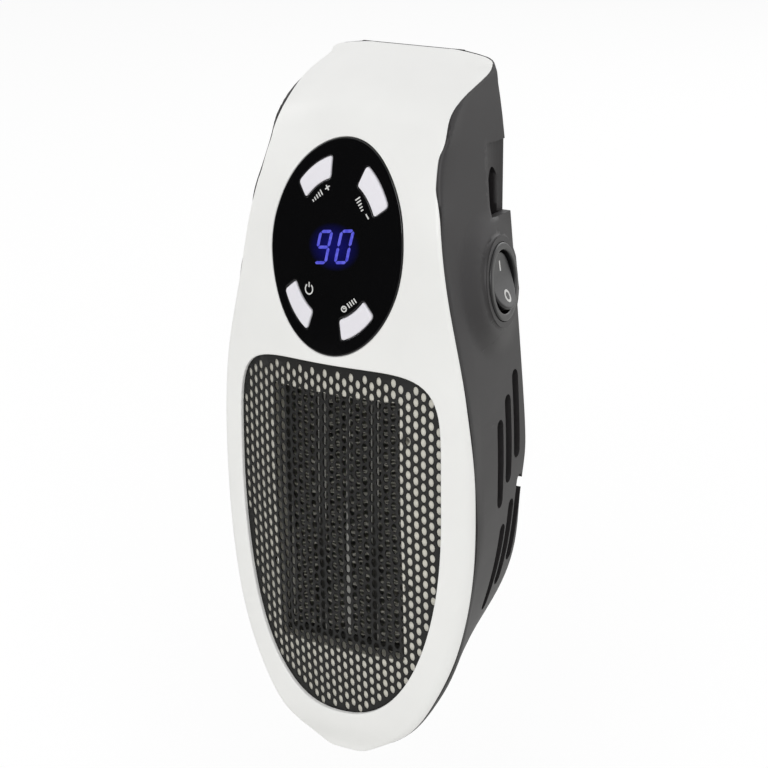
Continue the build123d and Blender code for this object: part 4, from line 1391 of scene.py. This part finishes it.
@dataclass(frozen=True)
class Digits:
    """Two lit seven-segment digits, leaning to the right, in the haze of their own light."""

    text: str = "90"
    middle: Pair = (0.35, 2.68)
    pitch: float = 6.1
    half_width: float = 1.62
    half_height: float = 3.98
    stroke: float = 0.78
    cut: float = 0.14
    slant: float = 10.0
    climb: float = 0.13
    proud: float = 0.12
    sunk: float = 0.1
    haze_half_width: float = 7.6
    haze_half_height: float = 6.2
    haze_proud: float = 0.02

    def bars(self) -> dict[str, tuple[float, float, float, float]]:
        """Start and end of each of the seven bars, in a digit's own plane."""
        w, h = self.half_width, self.half_height
        return {
            "top": (-w, h, w, h),
            "middle": (-w, 0, w, 0),
            "bottom": (-w, -h, w, -h),
            "upper_left": (-w, 0, -w, h),
            "upper_right": (w, 0, w, h),
            "lower_left": (-w, -h, -w, 0),
            "lower_right": (w, -h, w, 0),
        }

    def lit(self, digit: str) -> list[str]:
        """Names of the bars that are lit for a digit."""
        unlit = {"9": {"lower_left"}, "0": {"middle"}}
        return [name for name in self.bars() if name not in unlit[digit]]

    def bar_outline(self, ends: tuple[float, float, float, float], x: float) -> Array:
        """Pointed hexagon of one bar, leaned over and set in its digit's place."""
        start, end = np.array(ends[:2]), np.array(ends[2:])
        along = (end - start) / np.hypot(*(end - start))
        side = np.array([-along[1], along[0]]) * self.stroke / 2
        tip = along * self.cut
        shoulder = along * (self.cut + self.stroke / 2)
        points = np.array(
            [
                start + tip,
                start + shoulder - side,
                end - shoulder - side,
                end - tip,
                end - shoulder + side,
                start + shoulder + side,
            ]
        )
        lean = points[:, 1] * np.tan(np.radians(self.slant))
        side = x + points[:, 0] + lean
        rise = self.climb * (side - self.middle[0])
        return points_of(side, self.middle[1] + points[:, 1] + rise)

    def build(self) -> None:
        """Build the haze and the bars."""
        shape = Shape()
        oval = Oval(*self.middle, self.haze_half_width, self.haze_half_height)
        plan = oval.at(np.linspace(CLOSED, 1, 16)[:, None], full_turn(64))
        top, low = FORM.on_front(plan, -self.haze_proud), FORM.on_front(plan[::-1], self.sunk)
        shape.grid(np.concatenate([top, low]), wrap=True)
        shape.piece("digit_haze", DIGIT_HAZE, Body.HOUSING, "panel_black")
        shape = Shape()
        bars = self.bars()
        for place, digit in enumerate(self.text):
            x = self.middle[0] + (place - 0.5) * self.pitch
            for name in self.lit(digit):
                raised(shape, self.bar_outline(bars[name], x), self.proud, self.sunk)
        shape.piece("digit_bars", LIT_BLUE, Body.HOUSING, "display_black")


@dataclass(frozen=True)
class Marks:
    """Printed marks inside the keys: steps with a plus or a minus, a power ring and a clock."""

    share: float = 0.565
    stroke: float = 0.42
    thin: float = 0.8
    step: float = 0.78
    steps: int = 5
    steps_back: float = 0.4
    least_step: float = 0.35
    sign_gap: float = 0.9
    height: float = 1.5
    power_spot: Pair = (-6.6, -9.1)
    power_radius: float = 1.3
    power_gap: float = 70.0
    power_aspect: float = 1.15
    power_stem: float = 0.65
    clock_radius: float = 0.85
    clock_back: float = 1.9
    hands: tuple[tuple[float, ...], ...] = ((0.0, 0.22, 0.12, 0.3), (0.3, 0.0, 0.17, 0.12))
    clock_bars: int = 4
    clock_bars_back: float = 0.3
    proud: float = 0.03
    sunk: float = 0.08

    def row(self, angle: float) -> tuple[Array, Array, Array]:
        """Middle, reading direction and upward direction of the marks inside a key."""
        turn = np.radians(angle)
        along = unit(points_of(-PANEL.half_width * np.sin(turn), PANEL.half_height * np.cos(turn)))
        along = along * np.sign(along[0])
        return PANEL.at(self.share, turn), along, np.array([-along[1], along[0]])

    def patch(
        self, shape: Shape, row: tuple[Array, Array, Array], box: tuple[float, ...]
    ) -> None:
        """Add a small upright box, given by its middle and half sizes along the row."""
        middle, along, up = row
        u, v, half_u, half_v = box
        corners = np.array([(-1, -1), (1, -1), (1, 1), (-1, 1)]) * (half_u, half_v) + (u, v)
        raised(shape, middle + corners @ np.array([along, up]), self.proud, self.sunk)

    def ring(
        self, shape: Shape, middle: Array, radius: float, gap: float, aspect: float = 1.0
    ) -> None:
        """Add a ring, open at its top by a gap in degrees."""
        turn = np.radians(np.linspace(90 + gap / 2, 450 - gap / 2, 33))[: 33 if gap else 32]
        inner_radius = radius - self.stroke * self.thin
        outer, inner = (
            middle + points_of(reach * np.cos(turn), reach * aspect * np.sin(turn))
            for reach in (radius, inner_radius)
        )
        rows = ((outer, self.sunk), (outer, -self.proud), (inner, -self.proud), (inner, self.sunk))
        shape.tube(np.stack([FORM.on_front(line, inset) for line, inset in rows]), not gap)

    def build(self) -> None:
        """Build all marks as one printed piece."""
        shape = Shape()
        half = self.stroke / 2 * self.thin
        arm = self.height / 2
        for spot, rising in ((KEYS[0], True), (KEYS[1], False)):
            row = self.row(spot.angle)
            for k in range(self.steps):
                share = (k + 1) / self.steps if rising else 1 - k / self.steps
                tall = arm * (self.least_step + (1 - self.least_step) * share)
                u = (k - self.steps / 2) * self.step - self.steps_back
                self.patch(shape, row, (u, tall - arm, half, tall))
            u = self.steps / 2 * self.step + self.sign_gap
            self.patch(shape, row, (u, 0.0, arm, half))
            if rising:
                reach = (arm + half) / 2
                for side in (-1, 1):
                    self.patch(shape, row, (u, side * reach, half, reach - half))
        middle = np.array(self.power_spot)
        self.ring(shape, middle, self.power_radius, self.power_gap, self.power_aspect)
        upright = (middle, np.array([1.0, 0.0]), np.array([0.0, 1.0]))
        self.patch(shape, upright, (0.0, self.power_radius * 0.9, half, self.power_stem))
        row = self.row(KEYS[3].angle)
        face = row[0] - self.clock_back * row[1]
        self.ring(shape, face, self.clock_radius, 0.0)
        for hand in self.hands:
            self.patch(shape, (face, row[1], row[2]), hand)
        for k in range(self.clock_bars):
            u = k * self.step - self.clock_bars_back
            self.patch(shape, row, (u, 0.0, half, arm * 0.9))
        shape.piece("panel_marks", MARK_INK, Body.HOUSING, "key_white")


@dataclass(frozen=True)
class HeatingCore:
    """Heating core behind the grille: folded fin packs between two channelled bars."""

    back: float = 24.9
    front: float = 34.5
    low: float = -106.7
    high: float = -37.9
    centre_half: float = 0.6
    bar_near: float = 6.9
    bar_far: float = 9.3
    plate: float = 17.0
    fold_step: float = 1.05
    fold_points: int = 14
    wave: float = 0.12
    wave_length: float = 1.7
    strip: float = 0.28
    pack_gap: float = 0.08
    bar_skin: float = 0.42
    bar_groove: float = 0.9
    bar_edge: float = 0.08
    # Thickness of the dark strip in each groove, which is painted shade
    groove_shade: float = 0.25

    def fins(self) -> None:
        """Build the four fin packs: a strip folded to and fro, each fold slightly wavy."""
        shape = Shape()
        clear = self.pack_gap
        for near, far in (
            (-self.plate, -self.bar_far),
            (-self.bar_near, -self.centre_half),
            (self.centre_half, self.bar_near),
            (self.bar_far, self.plate),
        ):
            folds = int((self.high - self.low) / self.fold_step)
            t = np.linspace(0, folds, folds * self.fold_points + 1)
            swing = np.abs((t + 1) % 2 - 1)
            x = near + clear + (far - near - 2 * clear) * swing
            z = self.low + self.strip + (self.high - self.low - 2 * self.strip) * t / folds
            z = z + self.wave * np.sin(2 * np.pi * x / self.wave_length)
            line = points_of(x, z)
            along = np.gradient(line, axis=0)
            along = along / np.hypot(along[:, :1], along[:, 1:])
            # Half as thick at the bends, where a folded strip is stretched
            across = points_of(-along[:, 1] / 2, along[:, 0]) * self.strip / 2
            corners = ((1, self.back), (1, self.front), (-1, self.front), (-1, self.back))
            edges = []
            for side, depth in corners:
                flat = line + side * across
                edges.append(points_of(flat[:, 0], -depth, flat[:, 1]))
            shape.tube(np.stack(edges))
        shape.piece(
            "fin_packs", FIN_METAL, Body.HOUSING, "core_aluminium", ("heater_fins",), sharp=40
        )

    def bars(self) -> None:
        """Build the bars as drawn channels, each with a dark strip down its groove that is painted
        shade.
        """
        shape = Shape()
        # Dark strips on the groove floors: painted shade in the grooves
        groove_shade = Shape()
        half = (self.bar_far - self.bar_near) / 2
        skin = half - self.bar_skin
        edge = self.bar_edge
        floor = self.front - self.bar_groove
        groove_shade_top = floor + self.groove_shade
        profile = [
            (-half, self.back),
            (-half, self.front - edge),
            (-half + edge, self.front),
            (-skin, self.front),
            (-skin, floor),
            (skin, floor),
            (skin, self.front),
            (half - edge, self.front),
            (half, self.front - edge),
            (half, self.back),
        ]
        inlay = [(-skin, floor), (-skin, groove_shade_top), (skin, groove_shade_top), (skin, floor)]
        for side in (-1, 1):
            x = side * (self.bar_near + half)
            for target, points in ((shape, profile), (groove_shade, inlay)):
                flat = np.array(points)
                ends = (points_of(x + flat[:, 0], -flat[:, 1], z) for z in (self.low, self.high))
                target.prism(*ends)
        shape.piece(
            "bar_channels", BAR_METAL, Body.HOUSING, "core_aluminium", ("heater_bars",), sharp=30
        )
        # The dark strips are painted shade in the grooves, in the frame's dark colour
        groove_shade.piece("bar_groove_shade", DARK_FRAME_AND_GROOVE_SHADE, Body.HOUSING, "core_frame")

    def build(self) -> None:
        """Build the fin packs and the bars."""
        self.fins()
        self.bars()


@dataclass(frozen=True)
class SideSwitch:
    """Round rocker switch in the right side: bezelled cup, dished rocker and its two marks."""

    depth: float = 11.2
    height: float = -9.3
    probe: float = 0.752
    bezel: float = 10.3
    bezel_face: float = 8.75
    thickness: float = 1.2
    body: float = 9.2
    length: float = 13.0
    well: float = 8.3
    well_depth: float = 6.4
    pivot: float = 1.0
    tilt: float = 9.0
    rocker: float = 7.6
    low: float = 3.2
    end_rise: float = 2.6
    middle_rise: float = 1.5
    roll: float = 0.6
    foot: Pair = (0.86, 0.5)
    pin: float = 1.0
    pin_start: float = 6.0
    pin_reach: float = 8.2
    soft: float = 0.45
    chamfer: float = 0.4
    bar_half: float = 0.36
    bar_ends: Pair = (2.7, 5.4)
    ring_middle: float = -4.1
    ring_radii: Pair = (1.05, 1.75)
    ink: float = 0.05

    def seat(self) -> Frame:
        """Frame of the seat: tangent to the body's side, out away from it."""
        at = MODEL_FORM.side_at
        more = (at(self.depth + self.probe, self.height), at(self.depth, self.height + self.probe))
        less = (at(self.depth - self.probe, self.height), at(self.depth, self.height - self.probe))
        lean_depth = (more[0] - less[0]) / (2 * self.probe)
        lean_height = (more[1] - less[1]) / (2 * self.probe)
        out = unit(np.array([1, float(lean_depth), -float(lean_height)]))
        right = unit(np.array([float(lean_depth), -1, 0]))
        up = np.cross(right, out)
        origin = (float(at(self.depth, self.height)), -self.depth, self.height)
        return Frame(origin, tuple(right), tuple(up), tuple(out))

    def tilted(self) -> Frame:
        """Frame of the rocker on its pins, its lower end out."""
        seat = self.seat()
        turn = np.radians(self.tilt)
        up, out = np.array(seat.up), np.array(seat.out)
        origin = np.array(seat.origin) - self.pivot * out
        leaned = np.cos(turn) * out - np.sin(turn) * up
        if leaned[2] < out[2]:
            turn = -turn
            leaned = np.cos(turn) * out - np.sin(turn) * up
        raised_up = np.cos(turn) * up + np.sin(turn) * out
        return Frame(tuple(origin), seat.right, tuple(raised_up), tuple(leaned))

    def cup(self) -> None:
        """Build the bezel and the cup behind it as one turned piece."""
        shape = Shape()
        soft, chamfer = self.soft, self.chamfer
        turn = np.radians(np.linspace(0, 90, 6))
        rim_rise = self.thickness - soft + soft * np.sin(turn)
        lip = self.bezel_face - self.well
        lip_rise = self.thickness - lip * (1 - np.cos(turn))
        profile = np.concatenate(
            [
                [(CLOSED, -self.length), (self.body - chamfer, -self.length)],
                [(self.body, -self.length + chamfer), (self.body, 0.0), (self.bezel, 0.0)],
                points_of(self.bezel - soft + soft * np.cos(turn), rim_rise),
                points_of(self.bezel_face - lip * np.sin(turn), lip_rise),
                [(self.well, -self.well_depth), (CLOSED, -self.well_depth)],
            ]
        )
        self.seat().turned(shape, profile, 72)
        shape.piece(
            "switch_cup", SWITCH_BLACK, Body.HOUSING, "rocker_black", ("switch_body",), sharp=40
        )

    def crown(self, v: Array) -> Array:
        """Height of the rocker's dished face across its length."""
        return self.middle_rise + (self.end_rise - self.middle_rise) * (v / self.rocker) ** 2

    def dish(self) -> None:
        """Build the rocker: a round block under a dished face, on two short pins."""
        shape = Shape()
        frame_now = self.tilted()
        angle = full_turn(72)
        turn = np.radians(np.linspace(0, 90, 7))[1:]
        flat = np.linspace(CLOSED, self.rocker - self.roll, 12)
        radius = np.concatenate([flat, self.rocker - self.roll + self.roll * np.sin(turn)])
        drop = np.concatenate([np.zeros(12), self.roll * (1 - np.cos(turn))])
        u = radius[:, None] * np.cos(angle)
        v = radius[:, None] * np.sin(angle)
        face = frame_now.place(u, v, self.crown(v) - drop[:, None])
        rims = np.array([(1.0, 1.0), self.foot, (CLOSED, CLOSED / 2)]) * self.rocker
        level = np.array([0.0, -self.low, -self.low])[:, None]
        side = frame_now.place(rims[:, :1] * np.cos(angle), rims[:, 1:] * np.sin(angle), level)
        shape.grid(np.concatenate([face, side]), wrap=True)
        start, reach = self.pin_start, self.pin_reach
        profile = [(CLOSED, start), (self.pin, start), (self.pin, reach), (CLOSED, reach)]
        for way in (-1, 1):
            out = tuple(way * np.array(frame_now.right))
            right = tuple(way * np.array(frame_now.out))
            pins = Frame(frame_now.origin, right, frame_now.up, out)
            pins.turned(shape, np.array(profile), 20)
        shape.piece("rocker_dish", ROCKER_BLACK, Body.ROCKER, "rocker_black", ("rocker",))

    def marks(self) -> None:
        """Build the bar that means on and the ring that means off."""
        shape = Shape()
        frame_now = self.tilted()
        u = np.array([-self.bar_half, self.bar_half])[:, None]
        v = np.linspace(*self.bar_ends, 8)
        top = frame_now.place(u, v, self.crown(v) + self.ink)
        low = frame_now.place(u, v, self.crown(v) - self.ink)
        shape.tube(np.stack([low[0], top[0], top[1], low[1]]))
        angle = full_turn(40)
        inner, outer = self.ring_radii
        radius = np.array([outer, outer, inner, inner])[:, None]
        ink = np.array([-1, 1, 1, -1])[:, None] * self.ink
        v = self.ring_middle + radius * np.sin(angle)
        rings = frame_now.place(radius * np.cos(angle), v, self.crown(v) + ink)
        shape.tube(rings, wrap=True)
        shape.piece("rocker_marks", MARK_INK, Body.ROCKER, "key_white")

    def build(self) -> None:
        """Build the cup, the rocker and its marks."""
        self.cup()
        self.dish()
        self.marks()


@dataclass(frozen=True)
class PanScrews:
    """Cross-recessed screws: a domed head, a cross sunk in it and a plain shank."""

    node: str
    spots: tuple[Pair, ...]
    head: float = 2.6
    dome: float = 0.35
    cross: float = 1.5
    cross_half: float = 0.32
    cross_depth: float = 0.9
    cross_slope: float = 0.1
    cross_end_slope: float = 0.25
    head_height: float = 1.8
    shank: float = 1.1
    point: float = 0.5

    def build(self) -> None:
        """Build the screws, their heads turned to the wall."""
        shape = Shape()
        low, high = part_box(self.node)
        back, front = -high[1] / MM, -low[1] / MM
        seat = back + self.head_height
        angle = full_turn(48)
        radius = np.concatenate([[CLOSED], np.linspace(0.16, self.head, 18)])[:, None]
        u, v = radius * np.cos(angle), radius * np.sin(angle)
        width = np.minimum(np.abs(u), np.abs(v))
        inside_cross = np.clip((self.cross_half - width) / self.cross_slope, 0, 1)
        inside_cross = inside_cross * np.clip((self.cross - radius) / self.cross_end_slope, 0, 1)
        level = back + self.dome * (radius / self.head) ** 2 + self.cross_depth * inside_cross
        profile = [(self.head, back + self.dome), (self.head, seat), (self.shank, seat)]
        profile += [(self.shank, front - self.point), (CLOSED, front)]
        for x, z in self.spots:
            spot = facing_wall(x, z)
            shape.grid(spot.place(u, v, level), wrap=True)
            spot.turned(shape, np.array(profile))
        shape.piece(f"{self.node}_cross", SCREW_METAL, Body.HOUSING, "screw_zinc", (self.node,))


@dataclass(frozen=True)
class SmoothCopy:
    """Merged copy of a CAD node's mesh, shaded smooth, with softened edges where asked."""

    node: str
    finish: Finish
    slot: str
    body: Body = Body.HOUSING
    soften: float = 0.0
    sharp: float = 28.0
    carry: Callable[[Array], Array] | None = None
    splits: int = 6
    reach: float = 2.2
    merge: float = 0.002
    flat_angle: float = 1.0
    edge_angle: float = 40.0

    def build(self) -> None:
        """Copy, merge and dress the node's mesh."""
        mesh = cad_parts[self.node].data.copy()
        work = bmesh.new()
        work.from_mesh(mesh)
        bmesh.ops.remove_doubles(work, verts=work.verts, dist=self.merge * MM)
        if self.soften:
            flat = np.radians(self.flat_angle)
            bmesh.ops.dissolve_limit(work, angle_limit=flat, verts=work.verts, edges=work.edges)
        for _ in range(self.splits if self.carry else 0):
            long_edges = [edge for edge in work.edges if edge.calc_length() > self.reach * MM]
            bmesh.ops.subdivide_edges(work, edges=long_edges, cuts=1)
            bmesh.ops.triangulate(work, faces=work.faces)
        work.to_mesh(mesh)
        work.free()
        if self.carry:
            places = np.zeros(len(mesh.vertices) * 3)
            mesh.vertices.foreach_get("co", places)
            moved = self.carry(places.reshape(-1, 3) / MM) * MM
            mesh.vertices.foreach_set("co", moved.ravel())
            mesh.update()
        name = f"{self.node}_moulding"
        piece = dress(name, mesh, self.finish, self.body, self.slot, (self.node,), self.sharp)
        if self.soften:
            edge = piece.modifiers.new("soft_edges", "BEVEL")
            edge.width = self.soften * MM
            edge.segments = 2
            edge.limit_method = "ANGLE"
            edge.angle_limit = np.radians(self.edge_angle)


@dataclass(frozen=True)
class Lamp:
    """Soft square lamp: its place and size in metres and its power in watts."""

    name: str
    place: Triple
    size: float
    power: float


@dataclass(frozen=True)
class Studio:
    """Camera, lamps, world, floor and the dark card that the gloss reflects."""

    lamps: tuple[Lamp, ...] = (
        Lamp("key_softbox", (0.95, -1.75, 1.15), 1.4, 17.5),
        Lamp("fill_softbox", (-1.7, -0.6, 0.9), 1.2, 6.0),
        Lamp("back_softbox", (0.3, 1.6, 0.9), 1.4, 7.0),
    )
    aim: Triple = (0.0, -0.02, -0.045)
    surroundings: float = 0.56
    sensor: float = 36.0
    clip: Pair = (0.02, 50.0)
    floor_reach: float = 3000.0
    azimuth: float = 29.98
    elevation: float = 17.70
    distance: float = 650.0
    target: Triple = (-2.5, -11.28, -42.66)
    lens: float = 112.73
    floor_height: float = -260.0
    flag_azimuth: float = -30.0
    flag_half_turn: float = 42.0
    flag_distance: float = 1500.0
    flag_low: float = -1100.0
    flag_high: float = 1700.0

    def camera(self) -> None:
        """Place the camera at the photograph's angle."""
        a, e = np.radians(self.azimuth), np.radians(self.elevation)
        back = Vector((np.sin(a) * np.cos(e), -np.cos(a) * np.cos(e), np.sin(e)))
        data = bpy.data.cameras.new("photo_camera")
        data.lens = self.lens
        data.sensor_width = self.sensor
        data.clip_start, data.clip_end = self.clip
        camera = add_object("photo_camera", data)
        camera.location = (Vector(self.target) + back * self.distance) * MM
        camera.rotation_euler = back.to_track_quat("Z", "Y").to_euler()
        bpy.context.scene.camera = camera

    def light(self) -> None:
        """Add the lamps, each turned to the heater."""
        for lamp in self.lamps:
            data = bpy.data.lights.new(lamp.name, "AREA")
            data.size = lamp.size
            data.energy = lamp.power
            box = add_object(lamp.name, data)
            box.location = lamp.place
            away = Vector(lamp.place) - Vector(self.aim)
            box.rotation_euler = away.to_track_quat("Z", "Y").to_euler()

    def card(
        self, name: str, material: bpy.types.Material, corners: Array
    ) -> bpy.types.Object:
        """Add a flat four-cornered card to the scene, and return it."""
        mesh = bpy.data.meshes.new(name)
        mesh.from_pydata((corners * MM).tolist(), [], [(0, 1, 2, 3)])
        mesh.materials.append(material)
        card = add_object(name, mesh)
        return card

    def world(self) -> None:
        """Plain white surroundings, with a dimmer light of their own on the heater."""
        world = bpy.data.worlds.new("studio")
        world.use_nodes = True
        tree = world.node_tree
        tree.nodes.clear()
        path = add_node(tree, "ShaderNodeLightPath")
        through = add_node(
            tree,
            "ShaderNodeMath",
            {0: path.outputs["Is Glossy Ray"], 1: path.outputs["Is Transmission Ray"]},
            operation="MAXIMUM",
        )
        seen = add_node(
            tree,
            "ShaderNodeMath",
            {0: path.outputs["Is Camera Ray"], 1: through.outputs[0]},
            operation="MAXIMUM",
        )
        light, white = (
            add_node(tree, "ShaderNodeBackground", {"Color": (1, 1, 1, 1), "Strength": strength})
            for strength in (self.surroundings, 1.0)
        )
        mix = add_node(
            tree,
            "ShaderNodeMixShader",
            {0: seen.outputs[0], 1: light.outputs[0], 2: white.outputs[0]},
        )
        add_node(tree, "ShaderNodeOutputWorld", {"Surface": mix.outputs[0]})
        bpy.context.scene.world = world

    def floor(self) -> None:
        """Pale floor below the heater: white to the camera, but for the shadow on it."""
        material, tree = blank_material("floor_white_paper")
        path = add_node(tree, "ShaderNodeLightPath")
        place = add_node(tree, "ShaderNodeTexCoord").outputs["Object"]
        fibre = add_node(
            tree, "ShaderNodeTexNoise", {"Vector": place, "Scale": 300.0, "Detail": 3.0}
        )
        tone = add_node(
            tree,
            "ShaderNodeValToRGB",
            {"Fac": fibre.outputs["Fac"]},
            stops=((0.0, linear("efefed")), (1.0, linear("f6f6f4"))),
        )
        paper = add_node(
            tree, "ShaderNodeBsdfDiffuse", {"Color": tone.outputs["Color"], "Roughness": 0.5}
        )
        glow = add_node(tree, "ShaderNodeEmission", {"Color": (1, 1, 1, 1), "Strength": 0.75})
        dim = add_node(
            tree, "ShaderNodeBsdfDiffuse", {"Color": (0.3, 0.3, 0.3, 1), "Roughness": 0.5}
        )
        lit = add_node(tree, "ShaderNodeAddShader", {0: glow.outputs[0], 1: dim.outputs[0]})
        mix = add_node(
            tree,
            "ShaderNodeMixShader",
            {0: path.outputs["Is Camera Ray"], 1: paper.outputs[0], 2: lit.outputs[0]},
        )
        add_node(tree, "ShaderNodeOutputMaterial", {"Surface": mix.outputs[0]})
        plan = np.array([(-1, -1), (1, -1), (1, 1), (-1, 1)]) * self.floor_reach
        self.card("floor", material, points_of(plan[:, 0], plan[:, 1], self.floor_height))

    def flag(self) -> None:
        """Dark card beside the camera that only reflections see, so that the gloss stays deep."""
        material, tree = blank_material("flag_black_felt")
        felt = add_node(
            tree, "ShaderNodeBsdfDiffuse", {"Color": (0.004, 0.004, 0.004, 1), "Roughness": 1.0}
        )
        add_node(tree, "ShaderNodeOutputMaterial", {"Surface": felt.outputs[0]})
        turn = np.radians(self.flag_azimuth + np.array([-1, 1, 1, -1]) * self.flag_half_turn)
        height = np.array([self.flag_low, self.flag_low, self.flag_high, self.flag_high])
        reach = self.flag_distance
        corners = points_of(reach * np.sin(turn), -reach * np.cos(turn), height)
        card = self.card("flag", material, corners)
        card.visible_camera = False
        card.visible_diffuse = False
        card.visible_shadow = False

    def build(self) -> None:
        """Set up everything that isn't the heater."""
        bpy.context.scene.view_settings.view_transform = "Standard"
        self.camera()
        self.world()
        self.floor()
        self.light()
        self.flag()


HOUSING_SCREWS = ((-14.5, -21.8), (14.5, -21.8), (-15.5, 29.0), (15.5, 29.0))
CARRIED = {
    "display_block": PANEL_GLOSS,
    "control_board": BOARD_GREEN,
    "tact_switches": SWITCH_BLACK,
    "control_board_screws": SCREW_METAL,
    "core_strips": STRIP_METAL,
    "thermal_cutout": DARK_FRAME_AND_GROOVE_SHADE,
    "duct_screws": SCREW_METAL,
    "fan_stator": LAMINATE,
    "fan_shaft": SCREW_METAL,
    "fan_screws": SCREW_METAL,
    "switch_tabs": BLADE_METAL,
    "power_board": BOARD_GREEN,
    "relay": RELAY_CASE,
    "film_capacitor": CAPACITOR_BOX,
    "fuse": FUSE_CERAMIC,
    "power_board_screws": SCREW_METAL,
}
COPIES = (
    SmoothCopy(
        "rear_housing", GREY_HOUSING, "housing_grey", sharp=24.0, carry=FinerForm().on_side
    ),
    SmoothCopy("outlet_duct", DUCT_CREAM, "duct_cream", carry=FinerForm().on_front),
    SmoothCopy("core_holder", DARK_FRAME_AND_GROOVE_SHADE, "core_frame", soften=0.3),
    SmoothCopy("fan_frame", PLUG_BLACK, "fan_black"),
    SmoothCopy("fan_rotor", FAN_GREY, "rotor_grey", Body.FAN),
    SmoothCopy("plug_block", PLUG_BLACK, "plug_black", soften=0.4),
    SmoothCopy("left_blade", BLADE_METAL, "blade_brass", soften=0.15),
    SmoothCopy("right_blade", BLADE_METAL, "blade_brass", soften=0.15),
)


def finish_carried_nodes() -> None:
    """Give every CAD node that still shows its finish."""
    for name, finish in CARRIED.items():
        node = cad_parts[name]
        if node.hide_render:
            continue
        node.data.materials.clear()
        node.data.materials.append(finish.material())
        log.info("%s keeps its CAD shape", name)


def main() -> None:
    """Dress the heater and set up the studio."""
    logging.basicConfig(level=logging.INFO, format="%(name)s: %(message)s")
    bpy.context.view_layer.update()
    Studio().build()
    FrontShell().build()
    Grille().build()
    KeyPanel().build()
    HeatingCore().build()
    SideSwitch().build()
    PanScrews("housing_screws", HOUSING_SCREWS).build()
    for copy in COPIES:
        copy.build()
    finish_carried_nodes()


if __name__ == "__main__":
    main()
